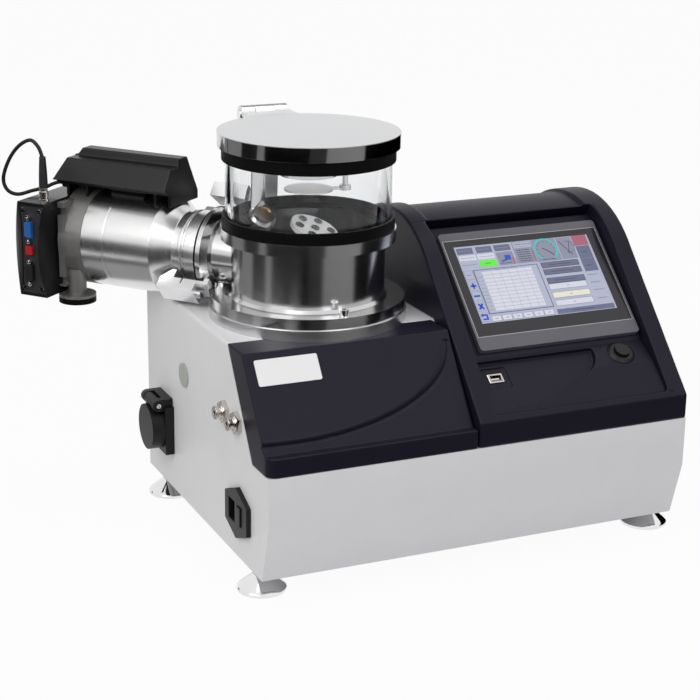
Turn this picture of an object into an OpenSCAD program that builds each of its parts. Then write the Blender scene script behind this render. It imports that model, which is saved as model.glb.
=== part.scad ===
// Bench sputter coater with a hinged-lid glass chamber, a touch-panel console
// and a turbo pump held on the chamber's side port.
// X runs to the right, Y to the back, Z up. The origin is the middle of the
// front left foot's underside, on the floor. Millimetres.

/* [Case] */
// Width of the white case
case_w = 470; // [460:1:500]
// Depth of the white case
case_d = 362; // [352:1:380]
// Height of the case's flat deck above the floor
deck_z = 238; // [234:1:244]
// Height of the case's underside above the floor
case_bottom_z = 22; // [21:0.5:24]
// Height of the crease in the front face
crease_z = 82; // [70:1:90]
// Height of the front ledge that the black covers rest on
lip_z = 134; // [130:1:138]
// How far the bottom front edge is set back
front_setback = 17; // [12:1:22]
// Depth of the ledge under the covers
ledge_d = 43; // [38:1:46]
// Distance from the front face to the start of the deck
deck_front = 110; // [104:1:114]
// Sheet thickness of the case
case_wall = 3; // [2:0.5:3.5]

/* [Feet] */
// Radius of a foot's round base
foot_r = 25; // [22:1:28]
// Radius of the foot's stud
foot_stud_r = 4; // [3:0.5:5]
// Distance from a side face to a foot's axis
foot_side_in = 12; // [11.5:0.5:16]
// Distance from the front face to the front feet
foot_front_in = 48; // [44:1:60]
// Distance from the rear face to the rear feet
foot_rear_in = 38; // [30:1:50]

/* [Chamber] */
// Chamber axis, from the left face
chamber_in_x = 114; // [112:1:116]
// Chamber axis, from the front face
chamber_in_y = 177; // [175:1:180]
// Radius of the base disc that lies on the deck
base_disc_r = 102; // [101:0.5:104]
// Thickness of the base disc
base_disc_t = 11; // [9:0.5:12]
// Radius of the chamber's bottom flange
flange_r = 100; // [99:0.5:100.5]
// Thickness of the chamber's bottom flange
flange_t = 11.5; // [10:0.5:13]
// Outer radius of the steel chamber body
body_r = 79; // [78:0.5:80]
// Wall of the steel chamber body
body_wall = 3; // [2:0.5:4]
// Outer radius of the steel ring round the top of the body
ring_r = 90; // [89:0.5:91]
// Thickness of that ring
ring_t = 12; // [10:0.5:14]
// Height of the ring's top face above the floor
ring_top_z = 332; // [330:1:334]
// Outer radius of the glass cylinder
glass_r = 85; // [84:0.5:86]
// Wall of the glass cylinder
glass_wall = 5; // [4:0.5:6]
// Seal under the glass, height of its outer skirt
low_seal_h = 12; // [10:0.5:14]
// Height of the glass cylinder
glass_h = 75; // [70:1:78]
// Seal on the glass, height of its outer skirt
top_seal_h = 14; // [12:0.5:16]
// Thickness of a seal's web between glass and metal
seal_web = 4; // [3:0.5:5]
// Outer radius of both seals
seal_r = 88.6; // [88:0.1:89]
// Radius of the lid plate
lid_r = 93; // [92:0.5:95]
// Thickness of the lid plate
lid_t = 15; // [12:0.5:16]

/* [Lid hinge] */
// Distance of the hinge pin behind the chamber axis
hinge_back = 126; // [124:1:130]
// Height of the hinge pin above the lid's underside
hinge_rise = 11; // [10.5:0.5:12]
// Radius of the hinge pin
hinge_pin_r = 4; // [3:0.5:5]
// Width of the hinge post
post_w = 22; // [18:1:26]
// Depth of the hinge post
post_d = 22; // [20:1:24]
// Width of each ear of the lid arm
ear_w = 15; // [12:1:18]

/* [Inside the chamber] */
// Radius of the cathode's ground shield
shield_r = 30; // [26:1:31]
// How far the shield hangs below the lid
shield_h = 30; // [26:1:31]
// Radius of the sputter target
target_r = 27; // [22:0.5:28.5]
// Radius of the shutter disc
shutter_r = 25; // [20:1:26]
// Distance of the shutter's shaft from the chamber axis
shutter_off = 38; // [37:0.5:40]
// How far the shutter disc hangs below the lid
shutter_drop = 46; // [42:1:50]
// Radius of the specimen table
table_r = 26; // [24:1:30]
// Thickness of the specimen table
table_t = 5; // [4:0.5:6]
// Height of the table's pivot above the floor
table_z = 311.7; // [306:0.1:313]
// Tilt of the table as the photograph shows it
table_tilt = 23; // [15:1:35]

/* [Side port and pump] */
// Turn of the side port from straight left towards the back
port_turn = 50; // [45:1:55]
// Height of the port's axis above the floor
port_z = 291.3; // [291.3:0.1:292]
// Outer radius of the side port's tube
port_r = 35; // [32:0.5:36]
// Outer radius of the port's flange
port_flange_r = 47.5; // [46:0.5:49]
// Distance from the chamber axis to the port flange's face
port_face = 107; // [105:1:109]
// Radius of the pump's barrel
pump_r = 52.8; // [51:0.2:52.8]
// Length of the pump's brushed barrel
barrel_len = 84; // [78:1:90]
// Length of the cone between the pump's neck and barrel
cone_len = 19; // [16:1:22]
// Radius of the pump's neck
neck_r = 38; // [36:0.5:40]
// Length of the cast part behind the barrel
cast_len = 28; // [26:1:30]
// Radius at the tips of the rotor's blades
blade_tip_r = 44; // [38:0.5:46]
// Number of blades in one row of the rotor
blades = 18; // [12:1:24]

/* [Drive box] */
// Length of the drive box along the pump's axis
box_len = 38; // [34:1:42]
// Height of the drive box
box_h = 102; // [98:1:108]
// Reach of the drive box from the pump's axis to its socket side
box_reach = 76; // [72:1:80]

/* [Console] */
// Width of the black console
console_w = 244; // [243:0.5:246]
// Depth of the console's cover
console_d = 352; // [340:1:352]
// Slope of the console's front face
console_slope = 46.7; // [45:0.1:48]
// Radius of the round at the top of the console
console_round = 120; // [110:1:130]
// Wall of the black covers
cover_wall = 3; // [2.5:0.5:3.5]
// Width of the recess in the console's front
recess_w = 205; // [203:0.5:206]
// Length of the recess along the slope
recess_len = 235; // [230:1:236]
// Width of the touch panel's bezel
panel_w = 190; // [184:1:192]
// Height of the touch panel's bezel
panel_h = 143.5; // [138:0.5:146]
// Radius of the power button's cap
button_r = 8; // [6:0.5:9]
// Travel of the power button
button_travel = 2.5; // [1.5:0.5:3]

/* [Fits] */
// Radial clearance of a running fit
run_fit = 0.05; // [0.02:0.01:0.1]
// Clearance between neighbouring parts that don't touch
gap = 0.3; // [0.25:0.05:0.5]

/* [Hidden] */
$fn = 72;
left_x = -foot_side_in;
right_x = left_x + case_w;
front_y = -foot_front_in;
rear_y = front_y + case_d;
cx = left_x + chamber_in_x;
cy = front_y + chamber_in_y;
disc_top_z = deck_z + base_disc_t;
flange_top_z = disc_top_z + flange_t;
glass_z0 = ring_top_z + seal_web;
glass_z1 = glass_z0 + glass_h;
lid_z = glass_z1 + seal_web;
lid_under_z = lid_z + 0.02;
lid_top_z = lid_z + lid_t;
pin_y = cy + hinge_back;
pin_z = lid_z + hinge_rise;
inner_r = body_r - body_wall;
console_x = right_x - console_w;
cover_gap = 2;
cover_right_x = console_x - cover_gap;
cover_step_y = 8;
cover_step_z = lip_z + 21;
cover_top_y = 70;
cover_tilt = atan2(deck_z - cover_step_z, cover_top_y - cover_step_y);
console_z0 = lip_z + 26;
tangent_y = 128;
crown_y = tangent_y + console_round * sin(console_slope);
crown_z = console_z0 + tan(console_slope) * tangent_y - console_round * cos(console_slope);
rear_slope = 30;
recess_x = 19;
recess_t = 7;
panel_tilt = 42.5;
panel_foot = [61.7, 213.8];
bezel_t = 6;
bezel_top = 9.2;
bezel_foot = 15.5;
display_w = panel_w - 4;
display_h = panel_h - bezel_top - bezel_foot;
display_rise = (bezel_foot - bezel_top) / 2;
panel_x = 126.4;
button_x = 191;
button_y = 49;
seal_gap_t = 4;
pump_face = port_face + seal_gap_t;
neck_len = 30;
cone_s = pump_face + neck_len;
barrel_s = cone_s + cone_len;
cast_s = barrel_s + barrel_len;
box_s = cast_s + cast_len;
rotor_shaft_r = 6;
lead_d = 4;

// 2D square with round corners, its first corner at the origin
module round_rect(w, h, r) {
    translate([r, 0]) square([w - 2 * r, h]);
    translate([0, r]) square([w, h - 2 * r]);
    for (x = [r, w - r], y = [r, h - r]) translate([x, y]) circle(r);
}
// box with round vertical edges, centred in X and Y
module round_slab(w, h, t, r) {
    translate([-w / 2, -h / 2, 0]) linear_extrude(t) round_rect(w, h, r);
}
// draws a side view (Y, Z) from the front face and stretches it along X
module side_view(x0, x1) {
    translate([x0, front_y, 0]) rotate([90, 0, 90]) linear_extrude(x1 - x0) children();
}
module at_chamber() { translate([cx, cy, 0]) children(); }
// local X runs out along the pump's axis, Y towards the front left, Z up
module on_port() { translate([cx, cy, port_z]) rotate([0, 0, 180 - port_turn]) children(); }
// shape turned about the pump's axis from a profile of [radius, distance]
module turned(points) { rotate([0, 90, 0]) rotate([0, 0, 90]) rotate_extrude() polygon(points); }
module rod_x(r, s0, s1) { translate([s0, 0, 0]) rotate([0, 90, 0]) cylinder(r = r, h = s1 - s0); }
module hex_x(af, s0, s1) {
    translate([s0, 0, 0]) rotate([0, 90, 0]) cylinder(r = af / 2 / cos(30), h = s1 - s0, $fn = 6);
}

// white case
inlet_y = front_y + 76;
inlet_z = 72;
outlet_y = rear_y - 62;
outlet_z = 90;
plug_y = rear_y - 123;
fitting_y = [front_y + 81, front_y + 116];
side_z = 165;
module case_profile(w) {
    polygon([[front_setback + w, case_bottom_z - (w > 0 ? 1 : 0)], [w, crease_z], [w, lip_z - w],
        [ledge_d + w * 1.2, lip_z - w], [deck_front + w * 0.8, deck_z - w],
        [case_d + (w > 0 ? 1 : 0), deck_z - w], [case_d + (w > 0 ? 1 : 0), case_bottom_z - (w > 0 ? 1 : 0)]]);
}
module lower_case() color([0.93, 0.93, 0.92]) difference() {
    intersection() {
        side_view(left_x, right_x) case_profile(0);
        translate([left_x, rear_y, 0]) rotate([90, 0, 0]) linear_extrude(case_d) union() {
            round_rect(case_w, deck_z, 4);
            square([case_w, deck_z / 2]);
        }
    }
    side_view(left_x + case_wall, right_x - case_wall) case_profile(case_wall);
    at_chamber() translate([0, 0, deck_z - 10]) cylinder(r = 40, h = 20);
    translate([left_x - 1, 0, 0]) {
        translate([0, inlet_y - 24, inlet_z - 14]) cube([case_wall + 2, 48, 28]);
        translate([0, outlet_y, outlet_z]) rod_x(20, 0, case_wall + 2);
        translate([0, plug_y, side_z]) rod_x(10, 0, case_wall + 2);
        for (y = fitting_y) translate([0, y, side_z]) rod_x(5, 0, case_wall + 2);
    }
}
foot_xs = [left_x + foot_side_in, right_x - foot_side_in];
foot_ys = [front_y + foot_front_in, rear_y - foot_rear_in];
boss_r = foot_stud_r + 4;
boss_h = 14;
module base_pan() color([0.85, 0.85, 0.85]) difference() {
    union() {
        translate([left_x + case_wall, front_y + front_setback + case_wall, case_bottom_z])
            cube([case_w - 2 * case_wall, case_d - front_setback - case_wall, case_wall]);
        translate([left_x + case_wall, rear_y - case_wall, case_bottom_z])
            cube([case_w - 2 * case_wall, case_wall, deck_z - case_bottom_z - case_wall]);
        for (x = foot_xs, y = foot_ys) translate([x, y, case_bottom_z]) cylinder(r = boss_r, h = boss_h);
    }
    for (x = foot_xs, y = foot_ys) translate([x, y, case_bottom_z - 1])
        cylinder(r = foot_stud_r + run_fit, h = boss_h + 2);
    for (i = [0 : 11]) translate([right_x - 180 + i * 12, rear_y - case_wall - 1, 90]) cube([4, case_wall + 2, 70]);
}
module foot(x, y) color([0.8, 0.8, 0.82]) translate([x, y, 0]) {
    rotate_extrude() polygon([[0, 0], [foot_r, 0], [foot_r, 3], [foot_r - 1, 4.2], [foot_stud_r + 5, 16.5],
        [foot_stud_r + 3.5, 17.5], [foot_stud_r, 17.5], [foot_stud_r, case_bottom_z + boss_h],
        [0, case_bottom_z + boss_h]]);
    translate([0, 0, 17.5]) difference() {
        cylinder(r = foot_stud_r + 3.5, h = case_bottom_z - 17.5 - gap, $fn = 6);
        translate([0, 0, -1]) cylinder(r = foot_stud_r, h = 10);
    }
}
module foot_front_left() foot(foot_xs[0], foot_ys[0]);
module foot_front_right() foot(foot_xs[1], foot_ys[0]);
module foot_rear_left() foot(foot_xs[0], foot_ys[1]);
module foot_rear_right() foot(foot_xs[1], foot_ys[1]);

// fused mains inlet and its drawer, in the left face
inlet_t = 5;
inlet_w = 60;
inlet_h = 54;
inlet_side = 30;
drawer_w = 10;
drawer_h = 20;
module mains_inlet() color([0.08, 0.08, 0.08]) translate([left_x, inlet_y, inlet_z]) difference() {
    union() {
        translate([-inlet_t, 0, 0]) rotate([90, 0, 90]) linear_extrude(inlet_t)
            polygon([[-inlet_w / 2, -inlet_side / 2], [0, -inlet_h / 2], [inlet_w / 2, -inlet_side / 2],
                [inlet_w / 2, inlet_side / 2], [0, inlet_h / 2], [-inlet_w / 2, inlet_side / 2]]);
        translate([0, -23, -13]) cube([30, 46, 26]);
    }
    translate([-inlet_t - 1, 3, -11]) cube([24, 16, 22]);
    translate([-inlet_t - 1, -15 - gap, -drawer_h / 2 - gap]) cube([22, drawer_w + 2 * gap, drawer_h + 2 * gap]);
}
module fuse_drawer() color([0.12, 0.12, 0.12]) translate([left_x, inlet_y, inlet_z]) {
    translate([-inlet_t - 1.5, -15, -drawer_h / 2]) cube([18, drawer_w, drawer_h]);
}
// outlet with a hinged flap, in the left face
outlet_w = 50;
outlet_h = 54;
outlet_t = 10;
flap_r = 25;
flap_t = 14;
flap_pin_x = left_x - 16;
flap_pin_z = outlet_z + flap_r + 4;
flap_pin_r = 2.5;
flap_ear = 8;
module outlet_base() color([0.06, 0.06, 0.06]) difference() {
    union() {
        translate([left_x - outlet_t, outlet_y - outlet_w / 2, outlet_z - outlet_h / 2])
            cube([outlet_t, outlet_w, outlet_h]);
        translate([left_x, outlet_y, outlet_z]) rod_x(19, 0, 24);
        for (s = [-1, 1]) translate([flap_pin_x, outlet_y + s * (flap_r - flap_ear - 4) - (s < 0 ? flap_ear : 0),
            flap_pin_z]) rotate([-90, 0, 0]) {
            cylinder(r = 6.5, h = flap_ear);
            translate([0, -6.5, 0]) cube([left_x - flap_pin_x, 13, flap_ear]);
        }
        translate([left_x - outlet_t, outlet_y - flap_r + 4, outlet_z]) cube([outlet_t, 2 * flap_r - 8, flap_pin_z + 6.5 - outlet_z]);
    }
    translate([left_x, outlet_y, outlet_z]) rod_x(17, -outlet_t - 1, 18);
    translate([flap_pin_x, outlet_y - flap_r, flap_pin_z]) rotate([-90, 0, 0])
        cylinder(r = flap_pin_r + run_fit, h = 2 * flap_r);
}
module outlet_flap() color([0.05, 0.05, 0.05]) difference() {
    union() {
        translate([left_x - outlet_t - gap - flap_t, outlet_y, outlet_z]) rod_x(flap_r, 0, flap_t);
        translate([flap_pin_x, outlet_y - (flap_r - flap_ear - 4) + gap, flap_pin_z]) rotate([-90, 0, 0]) {
            cylinder(r = 6, h = 2 * (flap_r - flap_ear - 4 - gap));
            translate([-4, 0, 0]) cube([8, 18, 2 * (flap_r - flap_ear - 4 - gap)]);
        }
    }
    translate([flap_pin_x, outlet_y - flap_r, flap_pin_z]) rotate([-90, 0, 0])
        cylinder(r = flap_pin_r + run_fit, h = 2 * flap_r);
}
module outlet_flap_pin() color([0.75, 0.75, 0.75])
    translate([flap_pin_x, outlet_y - flap_r + 3, flap_pin_z]) rotate([-90, 0, 0])
        difference() {
            cylinder(r = flap_pin_r, h = 2 * flap_r - 6);
            translate([0, 0, -1]) cylinder(r = flap_pin_r - 1, h = 5);
        }
module side_plug() color([0.7, 0.71, 0.68]) translate([left_x, plug_y, side_z]) {
    rod_x(13, -2, 0);
    rod_x(10 - gap, 0, 8);
}
module gas_fittings() color([0.8, 0.76, 0.7]) for (y = fitting_y) translate([left_x, y, side_z])
    difference() {
        union() {
            hex_x(21, -5, 0);
            rod_x(8.5, -6.5, -5);
            rod_x(6, -10, -6.5);
            rod_x(7, -12, -10);
            rod_x(5 - gap, 0, 12);
        }
        rod_x(2.5, -13, 13);
    }

// left cover, with a raised panel inside a sweeping arc
arc_x = 32;
arc_t = 94;
arc_a = 186;
arc_b = 84.5;
panel_step = 2;
module cover_profile(n) {
    s = n * sin(cover_tilt);
    c = n * cos(cover_tilt);
    polygon([[0, lip_z], [0, cover_step_z - c], [cover_step_y + s, cover_step_z - c],
        [cover_top_y + s, deck_z - c], [cover_top_y + s + c, deck_z], [deck_front, deck_z], [ledge_d, lip_z]]);
}
module on_cover() { translate([left_x, front_y + cover_step_y, cover_step_z]) rotate([cover_tilt, 0, 0]) children(); }
module cover_inside() {
    w = cover_wall;
    polygon([[w, lip_z - 1], [w, cover_step_z - w - 2], [cover_step_y + w + 3, cover_step_z - w - 2],
        [cover_top_y + w + 3, deck_z - w], [deck_front + 30, deck_z - w], [ledge_d + 30, lip_z - 1]]);
}
module left_cover() color([0.12, 0.12, 0.14]) difference() {
    intersection() {
        union() {
            side_view(left_x, cover_right_x) cover_profile(panel_step);
            intersection() {
                side_view(left_x, cover_right_x) cover_profile(0);
                on_cover() translate([0, 0, -10]) linear_extrude(30)
                    polygon(concat([for (a = [180 : 5 : 360]) [arc_x + arc_a * cos(a), arc_t + arc_b * sin(a)]],
                        [[arc_x + arc_a, 140], [arc_x - arc_a, 140]]));
            }
        }
        translate([left_x, front_y, 0]) linear_extrude(deck_z) union() {
            round_rect(cover_right_x - left_x, 160, 10);
            translate([30, 0]) square([cover_right_x - left_x - 30, 20]);
            translate([0, 40]) square([cover_right_x - left_x, 120]);
        }
    }
    side_view(left_x + cover_wall, cover_right_x - cover_wall) cover_inside();
    side_view(left_x - 1, cover_right_x + 1) case_profile(0);
}
module name_plate() color([0.95, 0.95, 0.95]) on_cover() translate([10, 69, 0]) linear_extrude(0.8)
    round_rect(66, 27, 2);

// console: cover, control tray, touch panel, USB socket and power button
function crown(r, a) = [crown_y + r * sin(a), crown_z + r * cos(a)];
crown_steps = 26;
crown_dip = 3.5;
module console_profile(n, dip = 0) {
    r = console_round - n;
    t1 = crown(r, -console_slope);
    t2 = crown(r - dip, rear_slope);
    e = n > 0 ? 1 : 0;
    polygon(concat([[n, lip_z - e], [n, t1[1] - tan(console_slope) * (t1[0] - n)]],
        [for (i = [0 : crown_steps]) crown(i > 6 ? r - dip : r, -console_slope + i * (console_slope + rear_slope) / crown_steps)],
        [[console_d - n, t2[1] - tan(rear_slope) * (console_d - n - t2[0])], [console_d - n, deck_z - e],
        [deck_front + e * 8, deck_z - e], [ledge_d + e * 8, lip_z - e]]));
}
dip_x0 = console_x + recess_x + 4;
dip_x1 = right_x - 30;
module console_form(n) {
    side_view(dip_x0 - n, dip_x1 + n) console_profile(n, crown_dip);
    side_view(console_x + n, dip_x0 - n) console_profile(n);
    side_view(dip_x1 + n, right_x - n) console_profile(n);
}
module on_console() { translate([console_x, front_y, console_z0]) rotate([console_slope, 0, 0]) children(); }
module recess(grow, n0, n1) {
    on_console() translate([recess_x - grow, recess_t - grow, n0])
        linear_extrude(n1 - n0) round_rect(recess_w + 2 * grow, recess_len + 2 * grow, 6 + grow);
}
module console_cover() color([0.12, 0.12, 0.14]) difference() {
    union() {
        difference() {
            console_form(0);
            console_form(cover_wall);
        }
        intersection() {
            console_form(0);
            recess(cover_wall, -50, 60);
        }
    }
    recess(0, -60, 80);
    side_view(console_x - 1, right_x + 1) case_profile(0);
}
// side view point of the touch panel's plane, from its lower front edge
function on_face(u, n) = [panel_foot[0] + u * cos(panel_tilt) - n * sin(panel_tilt),
    panel_foot[1] + u * sin(panel_tilt) + n * cos(panel_tilt)];
module on_panel() {
    translate([console_x + panel_x, front_y + on_face(panel_h / 2, 0)[0], on_face(panel_h / 2, 0)[1]])
        rotate([panel_tilt, 0, 0]) children();
}
podium_front = [36, 189];
podium_back = [62.5, 204.5];
podium_tilt = atan2(podium_back[1] - podium_front[1], podium_back[0] - podium_front[0]);
tray_tilt = 36;
scoop_depth = 6.5;
usb_x = 42;
usb_t = 40;
usb_n = -scoop_depth - 2;
module on_tray() { translate([console_x, front_y + 12, 170]) rotate([tray_tilt, 0, 0]) children(); }
module on_podium() {
    translate([console_x + button_x, front_y + (podium_front[0] + podium_back[0]) / 2,
        (podium_front[1] + podium_back[1]) / 2]) rotate([podium_tilt, 0, 0]) children();
}
module control_tray() color([0.13, 0.13, 0.15]) difference() {
    intersection() {
        side_view(console_x, right_x) polygon([[14, 150], [8, 163.5], podium_front, podium_back,
            on_face(-2, -bezel_t), on_face(panel_h + 12, -bezel_t), on_face(panel_h + 12, -bezel_t - 5),
            on_face(2, -bezel_t - 5), [69, 194], [40, 165]]);
        recess(-gap, -70, 80);
    }
    on_panel() translate([-86, -61, -30]) cube([172, 122, 40]);
    on_tray() {
        translate([24, 53, -scoop_depth]) linear_extrude(30)
            polygon(concat([for (a = [180 : 4 : 360]) [137 * cos(a), 53 * sin(a)]], [[137, 5], [-137, 5]]));
        translate([usb_x, usb_t, usb_n]) round_slab(30, 24, 20, 1);
        translate([usb_x - 7.5, usb_t - 4.5, usb_n - 13]) cube([15, 9, 20]);
    }
    on_podium() translate([0, 0, -30]) cylinder(r = button_r + 1.5, h = 60);
}
module button_ring() color([0.1, 0.1, 0.1]) on_podium() difference() {
    union() {
        cylinder(r1 = 15.5, r2 = 12, h = 3);
        translate([0, 0, -8]) cylinder(r = button_r + 1.2, h = 9);
    }
    translate([0, 0, -9]) cylinder(r = button_r + run_fit, h = 14);
}
module power_button() color([0.7, 0.7, 0.7]) on_podium() translate([0, 0, -7]) cylinder(r = button_r, h = 13);
module usb_socket() color([0.75, 0.75, 0.75]) on_tray() translate([usb_x, usb_t, usb_n]) {
    difference() {
        union() {
            round_slab(17, 11, 1.2, 1);
            translate([-6.8, -3.8, -12]) cube([13.6, 7.6, 14]);
        }
        translate([-6, -3, -11]) cube([12, 6, 14]);
    }
    translate([-5, -1, -11.5]) cube([10, 2, 11]);
}
module touch_panel_bezel() color([0.35, 0.35, 0.38]) on_panel() translate([0, 0, -bezel_t])
    difference() {
        union() {
            round_slab(panel_w, panel_h, bezel_t, 4);
            translate([0, 0, -7]) round_slab(168, 118, 9, 3);
        }
        translate([0, display_rise, bezel_t - 2]) round_slab(display_w, display_h, 5, 1.5);
    }
module touch_panel_glass() color([0.1, 0.2, 0.4]) on_panel() translate([0, display_rise, -2])
    round_slab(display_w - 2 * gap, display_h - 2 * gap, 1.6, 1.5);

// chamber
module base_disc() color([0.7, 0.7, 0.72]) at_chamber() translate([0, 0, deck_z]) difference() {
    union() {
        cylinder(r = base_disc_r, h = base_disc_t);
        translate([0, 0, -12]) cylinder(r = 38, h = 13);
    }
    translate([0, 0, -13]) cylinder(r = 20, h = 20);
}
module chamber_body() color([0.72, 0.72, 0.74]) difference() {
    union() {
        at_chamber() rotate_extrude($fn = 120) polygon([[inner_r, disc_top_z], [flange_r, disc_top_z],
            [flange_r, flange_top_z], [body_r + 3, flange_top_z], [body_r, flange_top_z + 3],
            [body_r, ring_top_z - ring_t], [ring_r, ring_top_z - ring_t], [ring_r, ring_top_z],
            [inner_r, ring_top_z]]);
        on_port() {
            rod_x(port_r, body_r - 9, port_face);
            turned([[0, port_face], [port_flange_r, port_face], [port_flange_r, port_face - 5],
                [port_r + 4, port_face - 10], [0, port_face - 10]]);
            translate([gauge_s, 0, 0]) rotate([gauge_turn, 0, 0]) translate([0, 0, -gauge_r]) cylinder(r = 6, h = gauge_r - port_r + 4);
        }
    }
    at_chamber() translate([0, 0, disc_top_z - 1]) cylinder(r = inner_r, h = 200, $fn = 120);
    on_port() {
        rod_x(port_r - 2, 60, port_face + 1);
        translate([gauge_s, 0, 0]) rotate([gauge_turn, 0, 0]) translate([0, 0, -gauge_r - 1])
            cylinder(r = 4, h = gauge_r - port_r + 8);
    }
}
gauge_s = 93;
gauge_turn = 215;
gauge_r = 52;
screw_angles = [270, 150, 30];
screw_pcr = 92.5;
module flange_screws() color([0.6, 0.6, 0.62]) at_chamber() for (a = screw_angles) rotate([0, 0, a])
    translate([screw_pcr, 0, flange_top_z]) difference() {
        cylinder(r = 5, h = 7);
        translate([0, 0, 3.5]) cylinder(r = 2.6, h = 4, $fn = 6);
    }
module lower_seal() color([0.05, 0.05, 0.05]) at_chamber() rotate_extrude($fn = 120)
    polygon([[glass_r - glass_wall, ring_top_z], [seal_r, ring_top_z], [seal_r, ring_top_z + low_seal_h],
        [glass_r + gap, ring_top_z + low_seal_h], [glass_r + gap, glass_z0], [glass_r - glass_wall, glass_z0]]);
module glass_cylinder() color([0.8, 0.9, 0.95, 0.4]) at_chamber() translate([0, 0, glass_z0]) difference() {
    cylinder(r = glass_r, h = glass_h, $fn = 120);
    translate([0, 0, -1]) cylinder(r = glass_r - glass_wall, h = glass_h + 2, $fn = 120);
}
module upper_seal() color([0.05, 0.05, 0.05]) at_chamber() rotate_extrude($fn = 120)
    polygon([[glass_r - glass_wall, lid_z], [seal_r, lid_z], [seal_r, lid_z - top_seal_h],
        [glass_r + gap, lid_z - top_seal_h], [glass_r + gap, glass_z1], [glass_r - glass_wall, glass_z1]]);
module lid_plate() color([0.8, 0.8, 0.82]) at_chamber() translate([0, 0, lid_under_z])
    cylinder(r = lid_r, h = lid_top_z - lid_under_z, $fn = 120);

// lid hinge: post on the deck, forked arm on the lid, pin
post_head_r = 9;
knuckle_r = 9;
module hinge_post() color([0.78, 0.78, 0.8]) translate([cx, pin_y, 0]) difference() {
    union() {
        translate([-post_w / 2, -post_head_r, deck_z]) cube([post_w, post_d, pin_z - deck_z - 14]);
        translate([-post_w / 2, -post_head_r, deck_z]) cube([post_w, 2 * post_head_r, pin_z - deck_z]);
        translate([-post_w / 2, 0, pin_z]) rod_x(post_head_r, 0, post_w);
        translate([0, 12, deck_z]) round_slab(post_w + 34, 40, 8, 4);
    }
    translate([-post_w, 0, pin_z]) rod_x(hinge_pin_r, 0, 2 * post_w);
}
arm_w = post_w + 2 * gap + 2 * ear_w;
module hinge_arm() color([0.8, 0.8, 0.82]) difference() {
    translate([cx, pin_y, 0]) difference() {
        union() {
            for (s = [-1, 1]) translate([s * (post_w / 2 + gap) - (s < 0 ? ear_w : 0), 0, pin_z]) rod_x(knuckle_r, 0, ear_w);
            translate([-arm_w / 2, -hinge_back + lid_r - 20, lid_z + 2])
                cube([arm_w, hinge_back - lid_r + 20, lid_t - 2]);
        }
        translate([-post_w, 0, pin_z]) rod_x(hinge_pin_r + run_fit, -20, 2 * post_w + 20);
        translate([-post_w / 2 - gap, -post_head_r - 2, pin_z - 30]) cube([post_w + 2 * gap, 60, 60]);
    }
    at_chamber() translate([0, 0, lid_z - 1]) cylinder(r = lid_r, h = lid_t + 2, $fn = 120);
}
module hinge_pin() color([0.7, 0.7, 0.7]) translate([cx, pin_y, pin_z]) rod_x(hinge_pin_r, -arm_w / 2 - 1, arm_w / 2 + 1);

// cathode, target and shutter, under the lid
module cathode_shield() color([0.75, 0.75, 0.77]) at_chamber() translate([0, 0, lid_under_z - shield_h]) difference() {
    cylinder(r = shield_r, h = shield_h);
    translate([0, 0, -1]) cylinder(r = target_r + 1, h = 6);
}
module sputter_target() color([0.9, 0.75, 0.3]) at_chamber() translate([0, 0, lid_under_z - shield_h + 2])
    cylinder(r = target_r, h = 3);
shutter_dir = -12;
shutter_shaft_r = 3;
bush_h = 12;
module shutter() color([0.6, 0.6, 0.6]) at_chamber() rotate([0, 0, shutter_dir]) {
    translate([shutter_off, 0, lid_z - shutter_drop]) {
        cylinder(r = shutter_shaft_r, h = shutter_drop - gap);
        translate([0, 0, -1]) cylinder(r = 6, h = 5);
        translate([-shutter_off + shutter_r - 3, -5, 0]) cube([shutter_off - shutter_r + 3, 10, 1.5]);
    }
    translate([0, 0, lid_z - shutter_drop]) cylinder(r = shutter_r, h = 1.5);
}
module shutter_bush() color([0.75, 0.75, 0.77]) at_chamber() rotate([0, 0, shutter_dir])
    translate([shutter_off, 0, lid_under_z - bush_h]) difference() {
        cylinder(r = 7, h = bush_h);
        translate([0, 0, -1]) cylinder(r = shutter_shaft_r + run_fit, h = bush_h + 1);
    }
// thickness sensor hanging from the lid
sensor_x = -52;
sensor_y = -4;
sensor_drop = 70;
sensor_tilt = 39;
sensor_turn = 15;
module on_sensor() {
    at_chamber() translate([sensor_x, sensor_y, lid_under_z - sensor_drop]) rotate([sensor_tilt, 0, sensor_turn]) children();
}
module thickness_sensor() color([0.75, 0.72, 0.68]) {
    difference() {
        union() {
            at_chamber() translate([sensor_x, sensor_y, lid_under_z - sensor_drop]) translate([-1, 8, -2])
                cylinder(r = 7, h = sensor_drop + 2);
            on_sensor() translate([0, 0, -12]) cylinder(r = 14, h = 14);
            on_sensor() cylinder(r = 11.5, h = 8);
        }
        on_sensor() translate([0, 0, 6]) cylinder(r = 7.5, h = 30);
        on_sensor() translate([0, 0, 8]) cylinder(r = 11.5, h = 30);
    }
}
module sensor_crystal() color([0.7, 0.5, 0.3]) on_sensor() translate([0, 0, 6]) cylinder(r = 7, h = 1);

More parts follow.
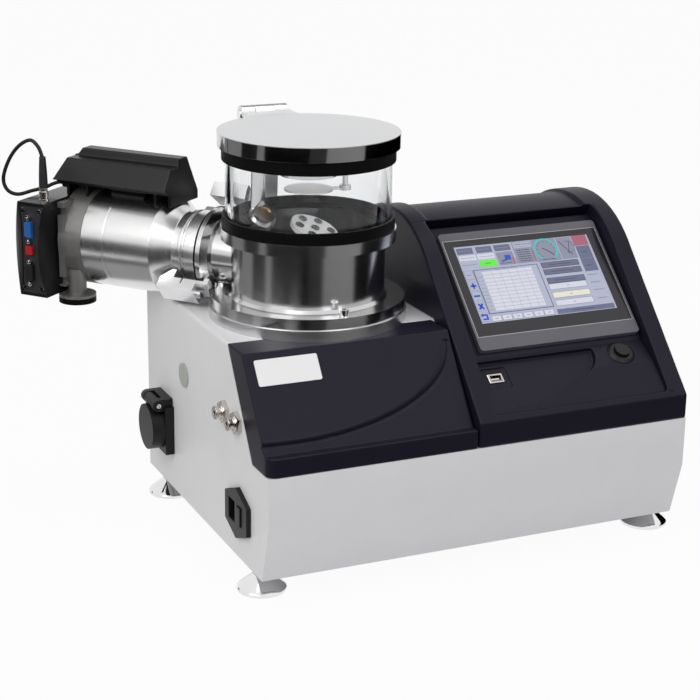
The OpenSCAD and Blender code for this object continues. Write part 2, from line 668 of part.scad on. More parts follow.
// specimen stage: stand on the base disc, tilting yoke, turning table
tilt_turn = 39;
trunnion_r = 3;
spigot_r = 4;
seat_z = 14;
stage_x = 2;
stage_y = 3;
module on_stage() { translate([cx + stage_x, cy + stage_y, table_z]) rotate([0, 0, tilt_turn]) children(); }
module stage_stand() color([0.7, 0.7, 0.72]) on_stage() difference() {
    union() {
        translate([0, 0, disc_top_z - table_z]) cylinder(r = 26, h = 6);
        for (s = [-1, 1]) translate([s * 20 - 3, -8, disc_top_z - table_z]) cube([6, 16, table_z - disc_top_z]);
        for (s = [-1, 1]) translate([s * 20 - 3, 0, 0]) rod_x(8, 0, 6);
    }
    rod_x(trunnion_r + run_fit, -30, 30);
}
module on_table() { on_stage() rotate([table_tilt, 0, 0]) children(); }
module stage_yoke() color([0.65, 0.65, 0.67]) on_table() difference() {
    union() {
        rod_x(trunnion_r, -25, 25);
        rod_x(7, -17 + gap, 17 - gap);
        cylinder(r = 9, h = seat_z);
    }
    translate([0, 0, 6]) cylinder(r = spigot_r + run_fit, h = 20);
}
stub_pitch = 18;
stub_turn = 20;
stub_r = 6;
stub_pin_r = 1.6;
stub_places = concat([[0, 0]], [for (i = [0 : 5]) [stub_pitch * cos(i * 60 + stub_turn), stub_pitch * sin(i * 60 + stub_turn)]]);
module specimen_table() color([0.9, 0.9, 0.9]) on_table() difference() {
    union() {
        translate([0, 0, seat_z + gap]) cylinder(r = table_r, h = table_t);
        translate([0, 0, 7]) cylinder(r = spigot_r, h = 8);
    }
    for (p = stub_places) translate([p[0], p[1], seat_z + gap + 1]) cylinder(r = stub_pin_r + run_fit, h = 10);
}
module specimen_stubs() color([0.75, 0.75, 0.75]) on_table() for (p = stub_places)
    translate([p[0], p[1], seat_z + gap + table_t]) {
        difference() {
            cylinder(r = stub_r - 1.5, h = 1.2);
            translate([0, 0, 0.6]) cylinder(r = 2, h = 2);
        }
        translate([0, 0, -3.5]) cylinder(r = stub_pin_r, h = 4);
    }
module vacuum_gauge() color([0.7, 0.7, 0.72]) on_port() translate([gauge_s, 0, 0]) rotate([gauge_turn, 0, 0])
    translate([0, 0, -gauge_r - 20]) {
        translate([-1, -13, 0]) cube([36, 26, 16]);
        cylinder(r = 5, h = 20);
    }

// pump, along the port's axis
module port_seal_ring() color([0.08, 0.08, 0.08]) on_port() difference() {
    rod_x(port_flange_r - 3, port_face, pump_face);
    rod_x(port_r - 2, port_face - 1, pump_face + 1);
}
claw_angles = [50, 250, 310];
claw_w = 24;
claw_r = 61;
module claw() {
    r0 = port_flange_r + 0.5;
    translate([0, 0, -claw_w / 2]) linear_extrude(claw_w) difference() {
        polygon([[port_face - 14, 44], [port_face - 8.2, 44], [port_face - 8.2, r0], [pump_face + 23.3, r0],
            [pump_face + 23.3, neck_r + gap], [cone_s - 1.5, neck_r + gap], [cone_s + 9, pump_r - 3.5],
            [cone_s + 9, claw_r], [port_face, claw_r], [port_face, r0 + 3.5], [port_face - 14, r0 + 3.5]]);
        translate([port_face + 16, r0 - 1]) square([1.5, 7]);
    }
}
module claw_clamps() color([0.8, 0.8, 0.82]) difference() {
    on_port() for (a = claw_angles) rotate([a - 90, 0, 0]) claw();
    at_chamber() cylinder(r = base_disc_r + 0.5, h = flange_top_z + 0.5);
}
module clamp_screws() color([0.6, 0.6, 0.62]) on_port() for (a = claw_angles) rotate([a - 90, 0, 0])
    translate([0, r_screw, 0]) rod_x(4.5, port_face - 6, port_face);
r_screw = port_flange_r + 9.2;
module pump_envelope() color([0.75, 0.75, 0.77]) on_port() difference() {
    turned([[0, pump_face], [41, pump_face], [41, pump_face + 14], [neck_r + 1, pump_face + 15],
        [neck_r + 1, pump_face + 17], [41, pump_face + 18], [41, pump_face + 21], [neck_r, pump_face + 23],
        [neck_r, cone_s], [pump_r, barrel_s], [pump_r, barrel_s + 56], [pump_r - 0.6, barrel_s + 56.6],
        [pump_r, barrel_s + 57.2], [pump_r, cast_s], [0, cast_s]]);
    turned([[0, pump_face - 1], [port_r - 2, pump_face - 1], [port_r - 2, cone_s + 1],
        [blade_tip_r + 2, barrel_s + 1], [blade_tip_r + 2, cast_s + 1], [0, cast_s + 1]]);
}
rotor_s = barrel_s - 2;
module pump_rotor() color([0.7, 0.7, 0.72]) on_port() {
    rod_x(20, rotor_s, rotor_s + 66);
    rod_x(rotor_shaft_r, rotor_s + 60, cast_s + 12);
    for (k = [0 : 4]) translate([rotor_s + 6 + k * 12, 0, 0]) for (i = [0 : blades - 1])
        rotate([i * 360 / blades, 0, 0]) translate([0, 0, 19]) rotate([0, 0, 35]) translate([-4, -0.6, 0]) cube([8, 1.2, blade_tip_r - 19.5]);
}
module pump_base() color([0.6, 0.6, 0.6]) on_port() difference() {
    union() {
        rod_x(pump_r + 0.5, cast_s, box_s);
        difference() {
            translate([box_s - 8, -50, -48]) cube([8, 102, 92]);
            for (z = [-40, 36]) translate([box_s - 9, 46, z - 6]) cube([10, 10, 8]);
        }
        translate([cast_s + 15, 38, -60]) cylinder(r = 10, h = 30);
        translate([cast_s + 15, 38, -60]) cylinder(r = 20, h = 3);
    }
    rod_x(rotor_shaft_r + run_fit, cast_s - 1, cast_s + 14);
    translate([cast_s + 15, 38, -61]) cylinder(r = 8, h = 26);
}
module foreline_cap() color([0.05, 0.05, 0.05]) on_port() translate([cast_s + 15, 38, -66]) cylinder(r = 20, h = 6);
box_v0 = -54;
box_mid = -5;
box_top = box_mid + box_h / 2;
box_face = 34;
bulge = 10;
module box_side(w) {
    polygon(concat([[0, -box_h / 2], [box_len - w, -box_h / 2]],
        [for (i = [-5 : 5]) [box_len - w + bulge * (1 - i * i / 25), i * (box_h / 2 - 4) / 5]],
        [[box_len - w, box_h / 2], [0, box_h / 2]]));
}
module drive_box() color([0.07, 0.07, 0.07]) on_port() translate([box_s, 0, box_mid]) difference() {
    intersection() {
        translate([0, box_reach, 0]) rotate([90, 0, 0]) linear_extrude(box_reach - box_v0) box_side(0);
        translate([0, 0, -box_h / 2]) linear_extrude(box_h)
            polygon([[0, box_v0], [0, box_reach], [box_face, box_reach], [box_len + bulge + 1, box_reach - 26], [box_len + bulge + 1, box_v0]]);
    }
    translate([3.5, box_reach - 1, -box_h / 2 + 4]) cube([box_face - 7, 3, box_h - 8]);
}
sock_s = box_s + 20;
jack_z = [30, 4.5, -17.5, -42];
module on_panel_face() { on_port() translate([sock_s, box_reach - 1, 0]) rotate([-90, 0, 0]) children(); }
module drive_sockets() color([0.2, 0.4, 0.8]) on_panel_face() {
    for (z = [(jack_z[0] + jack_z[1]) / 2, (jack_z[2] + jack_z[3]) / 2]) translate([0, -z, 0]) linear_extrude(5)
        polygon([[-4.5, -9], [3.5, -7.5], [3.5, 7.5], [-4.5, 9]]);
    translate([-4.5, 1, 0]) cube([8, 9, 4]);
}
module box_screws() color([0.7, 0.7, 0.7]) on_panel_face() {
    for (z = jack_z) translate([0, -z, 0]) difference() {
        cylinder(r = 2.6, h = 4);
        translate([0, 0, 1]) cylinder(r = 1.2, h = 4);
    }
    for (s = [-1, 1], z = [-1, 1]) translate([-3 + s * 10.5, -box_mid - z * 42, 0]) cylinder(r = 2.6, h = 1.6);
}

// fan unit on top of the pump
fan_s0 = 148;
fan_s1 = 287;
fan_s = 205;
fan_wall = 2.5;
fan_skirt = 30;
// the skirt stands on the drive box, or clear of the barrel where the box is lower
fan_foot = max(box_top, sqrt(pow(pump_r + 1, 2) - pow(fan_skirt + 1, 2)));
fan_eave = fan_foot + 18;
fan_tier = fan_foot + 40.5;
fan_roof = fan_foot + 49;
module fan_profile(n) {
    polygon([[-fan_skirt + n, fan_foot], [-fan_skirt + n, fan_eave - 2 + n], [-38 + n * 1.5, fan_eave + n],
        [-24 + n * 0.6, fan_tier - n], [-9 + n, fan_tier - n], [-7 + n, fan_roof - n], [9 - n / 2, fan_roof - n],
        [fan_skirt + 1 - n, fan_foot + 9], [fan_skirt + 1 - n, fan_foot]]);
}
module fan_section(s, w) { translate([s, 0, 0]) rotate([90, 0, 90]) mirror([1, 0, 0]) linear_extrude(w) children(); }
module fan_rib(s, r) {
    fan_section(s, 3) difference() {
        union() {
            fan_profile(0);
            translate([-fan_skirt, 36]) square([2 * fan_skirt, fan_foot - 36]);
        }
        circle(r);
    }
}
module fan_cover() color([0.08, 0.08, 0.09]) on_port() difference() {
    union() {
        fan_section(fan_s0, fan_s1 - fan_s0) difference() {
            fan_profile(0);
            translate([0, -0.01]) fan_profile(fan_wall);
        }
        fan_section(fan_s0, fan_wall) fan_profile(0);
        fan_rib(barrel_s + 5, pump_r);
        fan_rib(cast_s + 6, pump_r + 0.5);
        fan_section(box_s + 2, 3) fan_profile(0);
        translate([box_s + 4, lead_in_v, lead_in_z]) rod_x(4.5, 0, 7);
    }
    translate([fan_s1, 0, fan_eave]) rotate([0, -24, 0]) translate([0, -60, -30]) cube([60, 120, 100]);
    translate([274, -60, fan_tier + 0.1]) rotate([0, -35, 0]) cube([60, 120, 30]);
    for (i = [0 : 5]) translate([fan_s0 + 6 + i * 5, -45, fan_eave - 4]) cube([2.5, 25, 24]);
}
fan_shaft_r = 2;
module fan_frame() color([0.1, 0.1, 0.1]) on_port() translate([fan_s, 0, 0]) difference() {
    union() {
        difference() {
            translate([-20, -20, 56]) cube([40, 40, 12]);
            translate([0, 0, 50]) cylinder(r = 18, h = 30);
        }
        for (s = [-1, 1]) translate([-20, s * 17 - 2, 46]) cube([40, 4, 12]);
        for (a = [0 : 120 : 240]) rotate([0, 0, a]) translate([0, -1.5, 56]) cube([19, 3, 2]);
        translate([0, 0, 56]) cylinder(r = 5, h = 4);
    }
    rod_x(pump_r, -30, 30);
    translate([0, 0, 50]) cylinder(r = fan_shaft_r + run_fit, h = 30);
}
module fan_rotor() color([0.1, 0.1, 0.1]) on_port() translate([fan_s, 0, 0]) {
    translate([0, 0, 57]) cylinder(r = fan_shaft_r, h = 5);
    translate([0, 0, 60.5]) cylinder(r = 7, h = 7);
    for (i = [0 : 6]) rotate([0, 0, i * 360 / 7]) translate([6, 0, 64]) rotate([35, 0, 0]) translate([0, -4, -0.6]) cube([10.5, 8, 1.2]);
}

// plug and lead of the fan
plug_s = box_s + 8;
plug_v = 64;
module lead_plug() color([0.6, 0.6, 0.6]) on_port() translate([plug_s, plug_v, box_top]) rotate_extrude() polygon([[0, 0],
    [5, 0], [5, 3], [4.4, 3.4], [4.4, 5.6], [5, 6], [5, 11], [4.2, 11.6], [4.2, 14], [4.8, 14.6], [4.4, 30], [3.4, 48], [0, 48]]);
lead_sides = 10;
lead_in_z = 58;
lead_in_v = 22;
lead_route = [[280, 64, 93], [285, 64, 104], [295, 64, 110], [310, 64, 102], [323, 64, 86], [331, 64, 66],
    [328, 62, 53], [319, 56, 48], [308, 45, 51], [300, 34, 53], [295, 26, 56], [289, lead_in_v, lead_in_z], [283, lead_in_v, lead_in_z]];
function bend(p, i, t) = let (a = p[max(i - 1, 0)], b = p[i], c = p[i + 1], d = p[min(i + 2, len(p) - 1)])
    0.5 * (2 * b + (c - a) * t + (2 * a - 5 * b + 4 * c - d) * t * t + (3 * b - a - 3 * c + d) * t * t * t);
function smooth(p, k) = concat([for (i = [0 : len(p) - 2]) for (j = [0 : k - 1]) bend(p, i, j / k)], [p[len(p) - 1]]);
function unit(v) = v / norm(v);
function along(p, i) = i == 0 ? unit(p[1] - p[0]) : i == len(p) - 1 ? unit(p[i] - p[i - 1]) : unit(p[i + 1] - p[i - 1]);
function side(p, i) = i == 0 ? unit(cross(along(p, 0), [0, 1, 0]))
    : let (t = along(p, i), n = side(p, i - 1)) unit(n - (n * t) * t);
module tube(p, r, k) {
    last = len(p) - 1;
    points = [for (i = [0 : last]) let (t = along(p, i), n = side(p, i), b = cross(t, n))
        for (j = [0 : k - 1]) p[i] + r * (cos(j * 360 / k) * n + sin(j * 360 / k) * b)];
    faces = concat([[for (j = [0 : k - 1]) j]], [[for (j = [0 : k - 1]) last * k + k - 1 - j]],
        [for (i = [0 : last - 1]) for (j = [0 : k - 1]) let (m = (j + 1) % k)
            [i * k + j, (i + 1) * k + j, (i + 1) * k + m, i * k + m]]);
    polyhedron(points, faces, convexity = 6);
}
module fan_lead() color([0.05, 0.05, 0.05]) on_port() tube(smooth(lead_route, 3), lead_d / 2, lead_sides);

// inside the case: power supply and control board, both on the base pan
supply_w = 110;
supply_d = 150;
supply_h = 70;
supply_in_x = 60;
board_w = 180;
board_d = 200;
board_t = 2;
board_in_x = 40;
inner_rear_in = 62;
pillar_h = 12;
pillar_in = 8;
module power_supply() color([0.6, 0.6, 0.62])
    translate([left_x + supply_in_x, rear_y - inner_rear_in - supply_d, case_bottom_z + case_wall])
        cube([supply_w, supply_d, supply_h]);
module control_board() color([0.1, 0.4, 0.2])
    translate([right_x - board_in_x - board_w, rear_y - inner_rear_in - 10 - board_d, case_bottom_z + case_wall]) {
        for (x = [pillar_in, board_w - pillar_in], y = [pillar_in, board_d - pillar_in])
            translate([x, y, 0]) cylinder(r = 4, h = pillar_h);
        translate([0, 0, pillar_h]) cube([board_w, board_d, board_t]);
        for (i = [0 : 3]) translate([20 + i * 38, 40, pillar_h + board_t]) cube([24, 30, 18]);
        for (i = [0 : 2]) translate([30 + i * 50, 130, pillar_h + board_t]) cylinder(r = 11, h = 30);
    }

lower_case();
base_pan();
left_cover();
console_cover();
control_tray();
name_plate();
touch_panel_bezel();
touch_panel_glass();
usb_socket();
power_button();
button_ring();
foot_front_left();
foot_front_right();
foot_rear_left();
foot_rear_right();
mains_inlet();
fuse_drawer();
outlet_base();
outlet_flap();
outlet_flap_pin();
side_plug();
gas_fittings();
base_disc();
chamber_body();
flange_screws();
lower_seal();
glass_cylinder();
upper_seal();
lid_plate();
cathode_shield();
sputter_target();
shutter();
hinge_post();
hinge_arm();
hinge_pin();
stage_stand();
stage_yoke();
specimen_table();
specimen_stubs();
thickness_sensor();
sensor_crystal();
vacuum_gauge();
port_seal_ring();
claw_clamps();
clamp_screws();
pump_envelope();
pump_rotor();
pump_base();
foreline_cap();
drive_box();
drive_sockets();
box_screws();
fan_cover();
fan_rotor();
fan_frame();
lead_plug();
fan_lead();
shutter_bush();
power_supply();
control_board();
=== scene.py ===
# %% [markdown]
# # A bench sputter coater, dressed for the studio
#
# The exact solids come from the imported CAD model. They already have the right size and place, so
# this lesson never moves them: it gives each one its finish, softens the edges that a press brake or
# a mould would round, and models the things that solids alone can't show well: the moulded black
# covers, the lit screen and the fan's thin lead.

import math

import bpy
from mathutils import Matrix, Vector
from mathutils.geometry import interpolate_bezier


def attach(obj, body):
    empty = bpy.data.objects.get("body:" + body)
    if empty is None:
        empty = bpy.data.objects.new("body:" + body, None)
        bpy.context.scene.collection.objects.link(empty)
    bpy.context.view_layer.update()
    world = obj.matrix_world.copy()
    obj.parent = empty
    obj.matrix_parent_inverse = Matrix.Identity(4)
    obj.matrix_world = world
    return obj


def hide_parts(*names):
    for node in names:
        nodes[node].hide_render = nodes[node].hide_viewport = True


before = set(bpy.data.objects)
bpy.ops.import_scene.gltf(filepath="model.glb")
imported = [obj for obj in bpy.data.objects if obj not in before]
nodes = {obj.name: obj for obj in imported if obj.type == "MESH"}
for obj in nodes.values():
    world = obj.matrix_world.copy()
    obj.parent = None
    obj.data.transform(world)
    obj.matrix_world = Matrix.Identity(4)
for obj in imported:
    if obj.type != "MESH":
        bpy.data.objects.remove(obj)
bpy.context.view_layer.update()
scene = bpy.context.scene
scene.view_settings.view_transform = "Standard"
bpy.ops.object.select_all(action="DESELECT")

# %% [markdown]
# ## Camera
#
# The camera's place, aim and lens were worked out from the photograph, with the case as a box of
# known corners. A matrix built from three turns says the aim plainly: first the roll about the view
# line, then the tilt down, then the turn about the vertical.

# %% Camera
def turn_about(degrees, axis):
    return Matrix.Rotation(math.radians(degrees), 4, axis)


cam_place = (-0.6054, -1.5353, 0.7750)
cam_yaw, cam_pitch, cam_roll = 24.44, 17.69, 0.877
photo_width, focal_pixels = 700, 1817.74
cam_data = bpy.data.cameras.new("photo_camera")
cam_data.sensor_width = 36
cam_data.lens = focal_pixels / photo_width * cam_data.sensor_width
camera = bpy.data.objects.new("photo_camera", cam_data)
scene.collection.objects.link(camera)
look = turn_about(-cam_yaw, "Z") @ turn_about(90 - cam_pitch, "X")
camera.matrix_world = Matrix.Translation(cam_place) @ look @ turn_about(cam_roll, "Z")
scene.camera = camera
print("lens", round(cam_data.lens, 1), "mm")

# %% [markdown]
# ## The fan's lead
#
# A thin black lead leaves the top of the round plug, stands up, falls over in one loose loop and goes
# back into the fan housing. It could be a chain of cylinders, but a curve is better: one open spline
# carries the route, its bevel gives the thickness, and the length can be measured along it. At the end
# the curve becomes a mesh tube, whose bounds are those of the lead itself. The route's points are
# written in the pump's own axes: out along the pump, towards the front left, and up.

# %% The pump's axes and the lead
chamber_axis = (0.102, 0.129)
port_height, port_turn = 0.2913, 130
port_place = Matrix.Translation((*chamber_axis, port_height)) @ turn_about(port_turn, "Z")
lead_route = [
    (0.280, 0.064, 0.093), (0.285, 0.064, 0.104), (0.295, 0.064, 0.110), (0.310, 0.064, 0.102),
    (0.323, 0.064, 0.086), (0.331, 0.064, 0.066), (0.328, 0.062, 0.053), (0.319, 0.056, 0.048),
    (0.308, 0.045, 0.051), (0.300, 0.034, 0.053), (0.295, 0.026, 0.056), (0.289, 0.022, 0.058),
    (0.283, 0.022, 0.058),
]
lead_d = 0.004
steps_per_span = 24
lead_points = [port_place @ Vector(p) for p in lead_route]
bpy.ops.curve.primitive_bezier_curve_add(location=(0, 0, 0))
lead = bpy.context.object
lead.name = "fan_lead_cord"
spline = lead.data.splines[0]
spline.bezier_points.add(len(lead_points) - len(spline.bezier_points))
for i, (knot, p) in enumerate(zip(spline.bezier_points, lead_points)):
    before, after = lead_points[max(i - 1, 0)], lead_points[min(i + 1, len(lead_points) - 1)]
    handle = (after - before) / 6
    knot.handle_left_type = knot.handle_right_type = "FREE"
    knot.co = p
    knot.handle_left, knot.handle_right = p - handle, p + handle
lead.data.dimensions = "3D"
lead.data.bevel_depth = lead_d / 2
lead.data.bevel_resolution = 5
lead.data.resolution_u = 10
lead.data.use_fill_caps = True
track = []
for a, b in zip(spline.bezier_points, list(spline.bezier_points)[1:]):
    track += interpolate_bezier(a.co, a.handle_right, b.handle_left, b.co, steps_per_span)
lead_length = sum((q - p).length for p, q in zip(track, track[1:]))
print("lead is", round(lead_length * 1000), "mm long")
bpy.ops.object.convert(target="MESH")
lead = bpy.context.object
bpy.ops.object.shade_smooth()
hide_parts("fan_lead")
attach(lead, "case")

# %% [markdown]
# ## Materials
#
# Each finish is one small node tree round a Principled shader. A value that is the same all over the
# surface sits on the shader's own socket, so that it survives an export. What changes from place to
# place, such as brushing, the fine grain of a powder coat or a slight cloudiness of the colour, comes
# in through a link, and reads Object coordinates so that it stays on the piece when it moves.

# %% A helper for finishes
grain_depth = 0.0002


def link(mat, a, b):
    mat.node_tree.links.new(a, b)


def finish(name, colour, rough, metal=0.0, spec=0.5, vary=0.05, cloud=30):
    """A Principled finish whose colour drifts by the share vary, in clouds of about 1/cloud metres."""
    mat = bpy.data.materials.new(name)
    mat.use_nodes = True
    tree = mat.node_tree
    shader = tree.nodes["Principled BSDF"]
    shader.inputs["Roughness"].default_value = rough
    shader.inputs["Metallic"].default_value = metal
    shader.inputs["Specular IOR Level"].default_value = spec
    place = tree.nodes.new("ShaderNodeTexCoord")
    noise = tree.nodes.new("ShaderNodeTexNoise")
    ramp = tree.nodes.new("ShaderNodeValToRGB")
    noise.inputs["Scale"].default_value = cloud
    ramp.color_ramp.elements[0].position, ramp.color_ramp.elements[1].position = 0.3, 0.7
    ramp.color_ramp.elements[0].color = (*[c * (1 - vary) for c in colour], 1)
    ramp.color_ramp.elements[1].color = (*[min(1, c * (1 + vary)) for c in colour], 1)
    link(mat, place.outputs["Object"], noise.inputs["Vector"])
    link(mat, noise.outputs["Fac"], ramp.inputs["Fac"])
    link(mat, ramp.outputs["Color"], shader.inputs["Base Color"])
    return mat


def grain(mat, scale, strength, stretch=(1, 1, 1), rough=None, turn=0):
    """Adds a fine noise as relief, and as uneven gloss if rough gives two limits. stretch squeezes it
    along an axis, which makes brush marks across that axis, and turn is the bearing of X."""
    tree = mat.node_tree
    shader = tree.nodes["Principled BSDF"]
    place = tree.nodes.new("ShaderNodeTexCoord")
    axes = tree.nodes.new("ShaderNodeMapping")
    noise = tree.nodes.new("ShaderNodeTexNoise")
    bump = tree.nodes.new("ShaderNodeBump")
    axes.vector_type = "TEXTURE"
    axes.inputs["Rotation"].default_value = (0, 0, math.radians(turn))
    axes.inputs["Scale"].default_value = [1 / s for s in stretch]
    noise.inputs["Scale"].default_value = scale
    noise.inputs["Detail"].default_value = 3
    bump.inputs["Strength"].default_value = strength
    bump.inputs["Distance"].default_value = grain_depth
    link(mat, place.outputs["Object"], axes.inputs["Vector"])
    link(mat, axes.outputs["Vector"], noise.inputs["Vector"])
    link(mat, noise.outputs["Fac"], bump.inputs["Height"])
    link(mat, bump.outputs["Normal"], shader.inputs["Normal"])
    if rough:
        spread = tree.nodes.new("ShaderNodeMapRange")
        spread.inputs["To Min"].default_value, spread.inputs["To Max"].default_value = rough
        link(mat, noise.outputs["Fac"], spread.inputs["Value"])
        link(mat, spread.outputs["Result"], shader.inputs["Roughness"])
    return mat


# %% [markdown]
# ## Colour by height
#
# Three solids carry more than one finish: the strip of sockets on the drive box, the plug on top of
# it, and the lid plate, whose rim is polished and whose top is satin. Their looks change only with
# height, so a ramp with hard steps over the Object Z coordinate paints them without cutting the solids.

# %% A helper for colours that change with height
ramp_margin = 0.01


def layers(mat, steps):
    """steps lists (height in metres, colour, metallic, roughness) from the bottom upwards."""
    tree = mat.node_tree
    shader = tree.nodes["Principled BSDF"]
    low, high = steps[0][0], steps[-1][0] + ramp_margin
    place = tree.nodes.new("ShaderNodeTexCoord")
    part = tree.nodes.new("ShaderNodeSeparateXYZ")
    height = tree.nodes.new("ShaderNodeMapRange")
    height.inputs["From Min"].default_value, height.inputs["From Max"].default_value = low, high
    link(mat, place.outputs["Object"], part.inputs["Vector"])
    link(mat, part.outputs["Z"], height.inputs["Value"])
    looks = {
        "Base Color": [step[1] for step in steps],
        "Metallic": [(step[2],) * 3 for step in steps],
        "Roughness": [(step[3],) * 3 for step in steps],
    }
    for socket, shades in looks.items():
        ramp = tree.nodes.new("ShaderNodeValToRGB")
        ramp.color_ramp.interpolation = "CONSTANT"
        marks = ramp.color_ramp.elements
        while len(marks) < len(steps):
            marks.new(0.5)
        for mark, step in zip(marks, steps):
            mark.position = (step[0] - low) / (high - low)
        for mark, shade in zip(marks, shades):
            mark.color = (*shade, 1)
        link(mat, height.outputs["Result"], ramp.inputs["Fac"])
        link(mat, ramp.outputs["Color"], shader.inputs[socket])
    return mat


# %% [markdown]
# ## The finishes of this machine
#
# The case is powder-coated sheet, the covers are satin moulded plastic with a trace of violet, and
# the vacuum parts are stainless steel. Steel is all reflection, so its colour stays plain and its
# look comes from brush marks and, later, from the dark boards of the studio.

# %% Paint and plastics
white_paint = grain(finish("white_powder_coat", (0.80, 0.80, 0.815), 0.45, vary=0.01), 900, 0.04)
plate_white = finish("name_plate_white", (0.88, 0.88, 0.88), 0.3, vary=0.01)
black_cover = grain(finish("black_moulding", (0.0100, 0.0084, 0.0185), 0.42, spec=0.17), 1400, 0.08)
black_part = grain(finish("black_plastic", (0.0065, 0.0065, 0.0075), 0.45, spec=0.3), 1500, 0.06)
fan_shell = grain(finish("fan_shell_plastic", (0.0065, 0.0065, 0.0075), 0.34, spec=0.3), 1500, 0.06)
box_enamel = grain(finish("box_enamel", (0.0035, 0.0035, 0.004), 0.30, spec=0.34), 900, 0.05)
bezel_grey = grain(finish("bezel_grey", (0.105, 0.104, 0.12), 0.42), 1600, 0.04)
dark_glass = grain(finish("dark_glass", (0.016, 0.016, 0.019), 0.16), 500, 0.01)
seal_rubber = grain(finish("seal_rubber", (0.0015, 0.0015, 0.0017), 0.5, spec=0.10), 1200, 0.05)
cord_black = grain(finish("cord_black", (0.008, 0.008, 0.009), 0.5, spec=0.3), 1500, 0.05)
plug_grey = grain(finish("plug_grey", (0.42, 0.44, 0.40), 0.45), 900, 0.03)
board_green = grain(finish("board_green", (0.02, 0.12, 0.05), 0.5), 400, 0.1)

# %% Metals
polished_steel = grain(finish("polished_steel", (0.62, 0.62, 0.62), 0.18, 1.0, vary=0.03), 60, 0.02,
                       (1, 1, 14), (0.13, 0.23))
brushed_disc = grain(finish("brushed_disc", (0.70, 0.70, 0.71), 0.30, 1.0, vary=0.01), 1400, 0.015,
                     rough=(0.27, 0.33))
lid_steel = layers(grain(finish("lid_steel", (0.7, 0.7, 0.7), 0.3, 1.0), 2200, 0.008), [
    (0.400, (0.58, 0.58, 0.58), 1, 0.10), (0.4292, (0.66, 0.665, 0.675), 1, 0.28)])
dark_stub = grain(finish("dark_stub", (0.10, 0.10, 0.10), 0.25, 0.9), 900, 0.03)
table_plate = grain(finish("table_plate", (0.88, 0.88, 0.88), 0.30, 0.25, vary=0.01), 900, 0.01)
barrel_steel = grain(finish("barrel_steel", (0.70, 0.70, 0.70), 0.26, 1.0, vary=0.02), 70, 0.05,
                     (22, 1, 1), (0.20, 0.30), port_turn)
aluminium = grain(finish("aluminium", (0.82, 0.82, 0.83), 0.34, 1.0), 900, 0.04)
chrome = grain(finish("chrome", (0.80, 0.80, 0.80), 0.07, 1.0), 300, 0.005)
nickel = grain(finish("nickel", (0.62, 0.58, 0.54), 0.16, 1.0), 300, 0.01)
gold = grain(finish("gold_target", (0.85, 0.58, 0.22), 0.25, 1.0), 900, 0.03)
cast_grey = grain(finish("cast_alloy", (0.25, 0.246, 0.24), 0.45, 0.8, vary=0.08, cloud=60), 700, 0.25)
socket_colours = layers(grain(finish("socket_colours", (0.1, 0.1, 0.1), 0.35), 900, 0.03), [
    (0.240, (0.006, 0.006, 0.006), 0, 0.4), (0.276, (0.42, 0.008, 0.012), 0, 0.3),
    (0.295, (0.012, 0.11, 0.38), 0, 0.35)])
plug_colours = layers(grain(finish("plug_colours", (0.1, 0.1, 0.1), 0.35), 900, 0.03), [
    (0.330, (0.55, 0.50, 0.46), 1, 0.18), (0.3525, (0.006, 0.006, 0.006), 0, 0.45)])
lead.data.materials.append(cord_black)
print(len(bpy.data.materials), "finishes")

# %% [markdown]
# ## Clear glass
#
# The chamber wall is a thick tube of clear glass. A refracting shader bends the view as the real
# tube does, and shadow rays pass through it, because the inside of the real chamber is well lit.

# %% Clear glass
glass_index = 1.45
clear_glass = finish("clear_glass", (0.97, 0.98, 0.985), 0.0, vary=0.003)
tree = clear_glass.node_tree
shader = tree.nodes["Principled BSDF"]
shader.inputs["Transmission Weight"].default_value = 1.0
shader.inputs["IOR"].default_value = glass_index
through = tree.nodes.new("ShaderNodeBsdfTransparent")
pick = tree.nodes.new("ShaderNodeMixShader")
rays = tree.nodes.new("ShaderNodeLightPath")
link(clear_glass, rays.outputs["Is Shadow Ray"], pick.inputs["Fac"])
link(clear_glass, shader.outputs["BSDF"], pick.inputs[1])
link(clear_glass, through.outputs["BSDF"], pick.inputs[2])
link(clear_glass, pick.outputs["Shader"], tree.nodes["Material Output"].inputs["Surface"])
print("clear glass of index", glass_index)

# %% [markdown]
# ## Dress the solids
#
# A solid from CAD has knife edges. Welding its loose triangles and adding a small bevel catches the
# light along each edge, and weighted normals keep the flats flat and the round faces smooth.

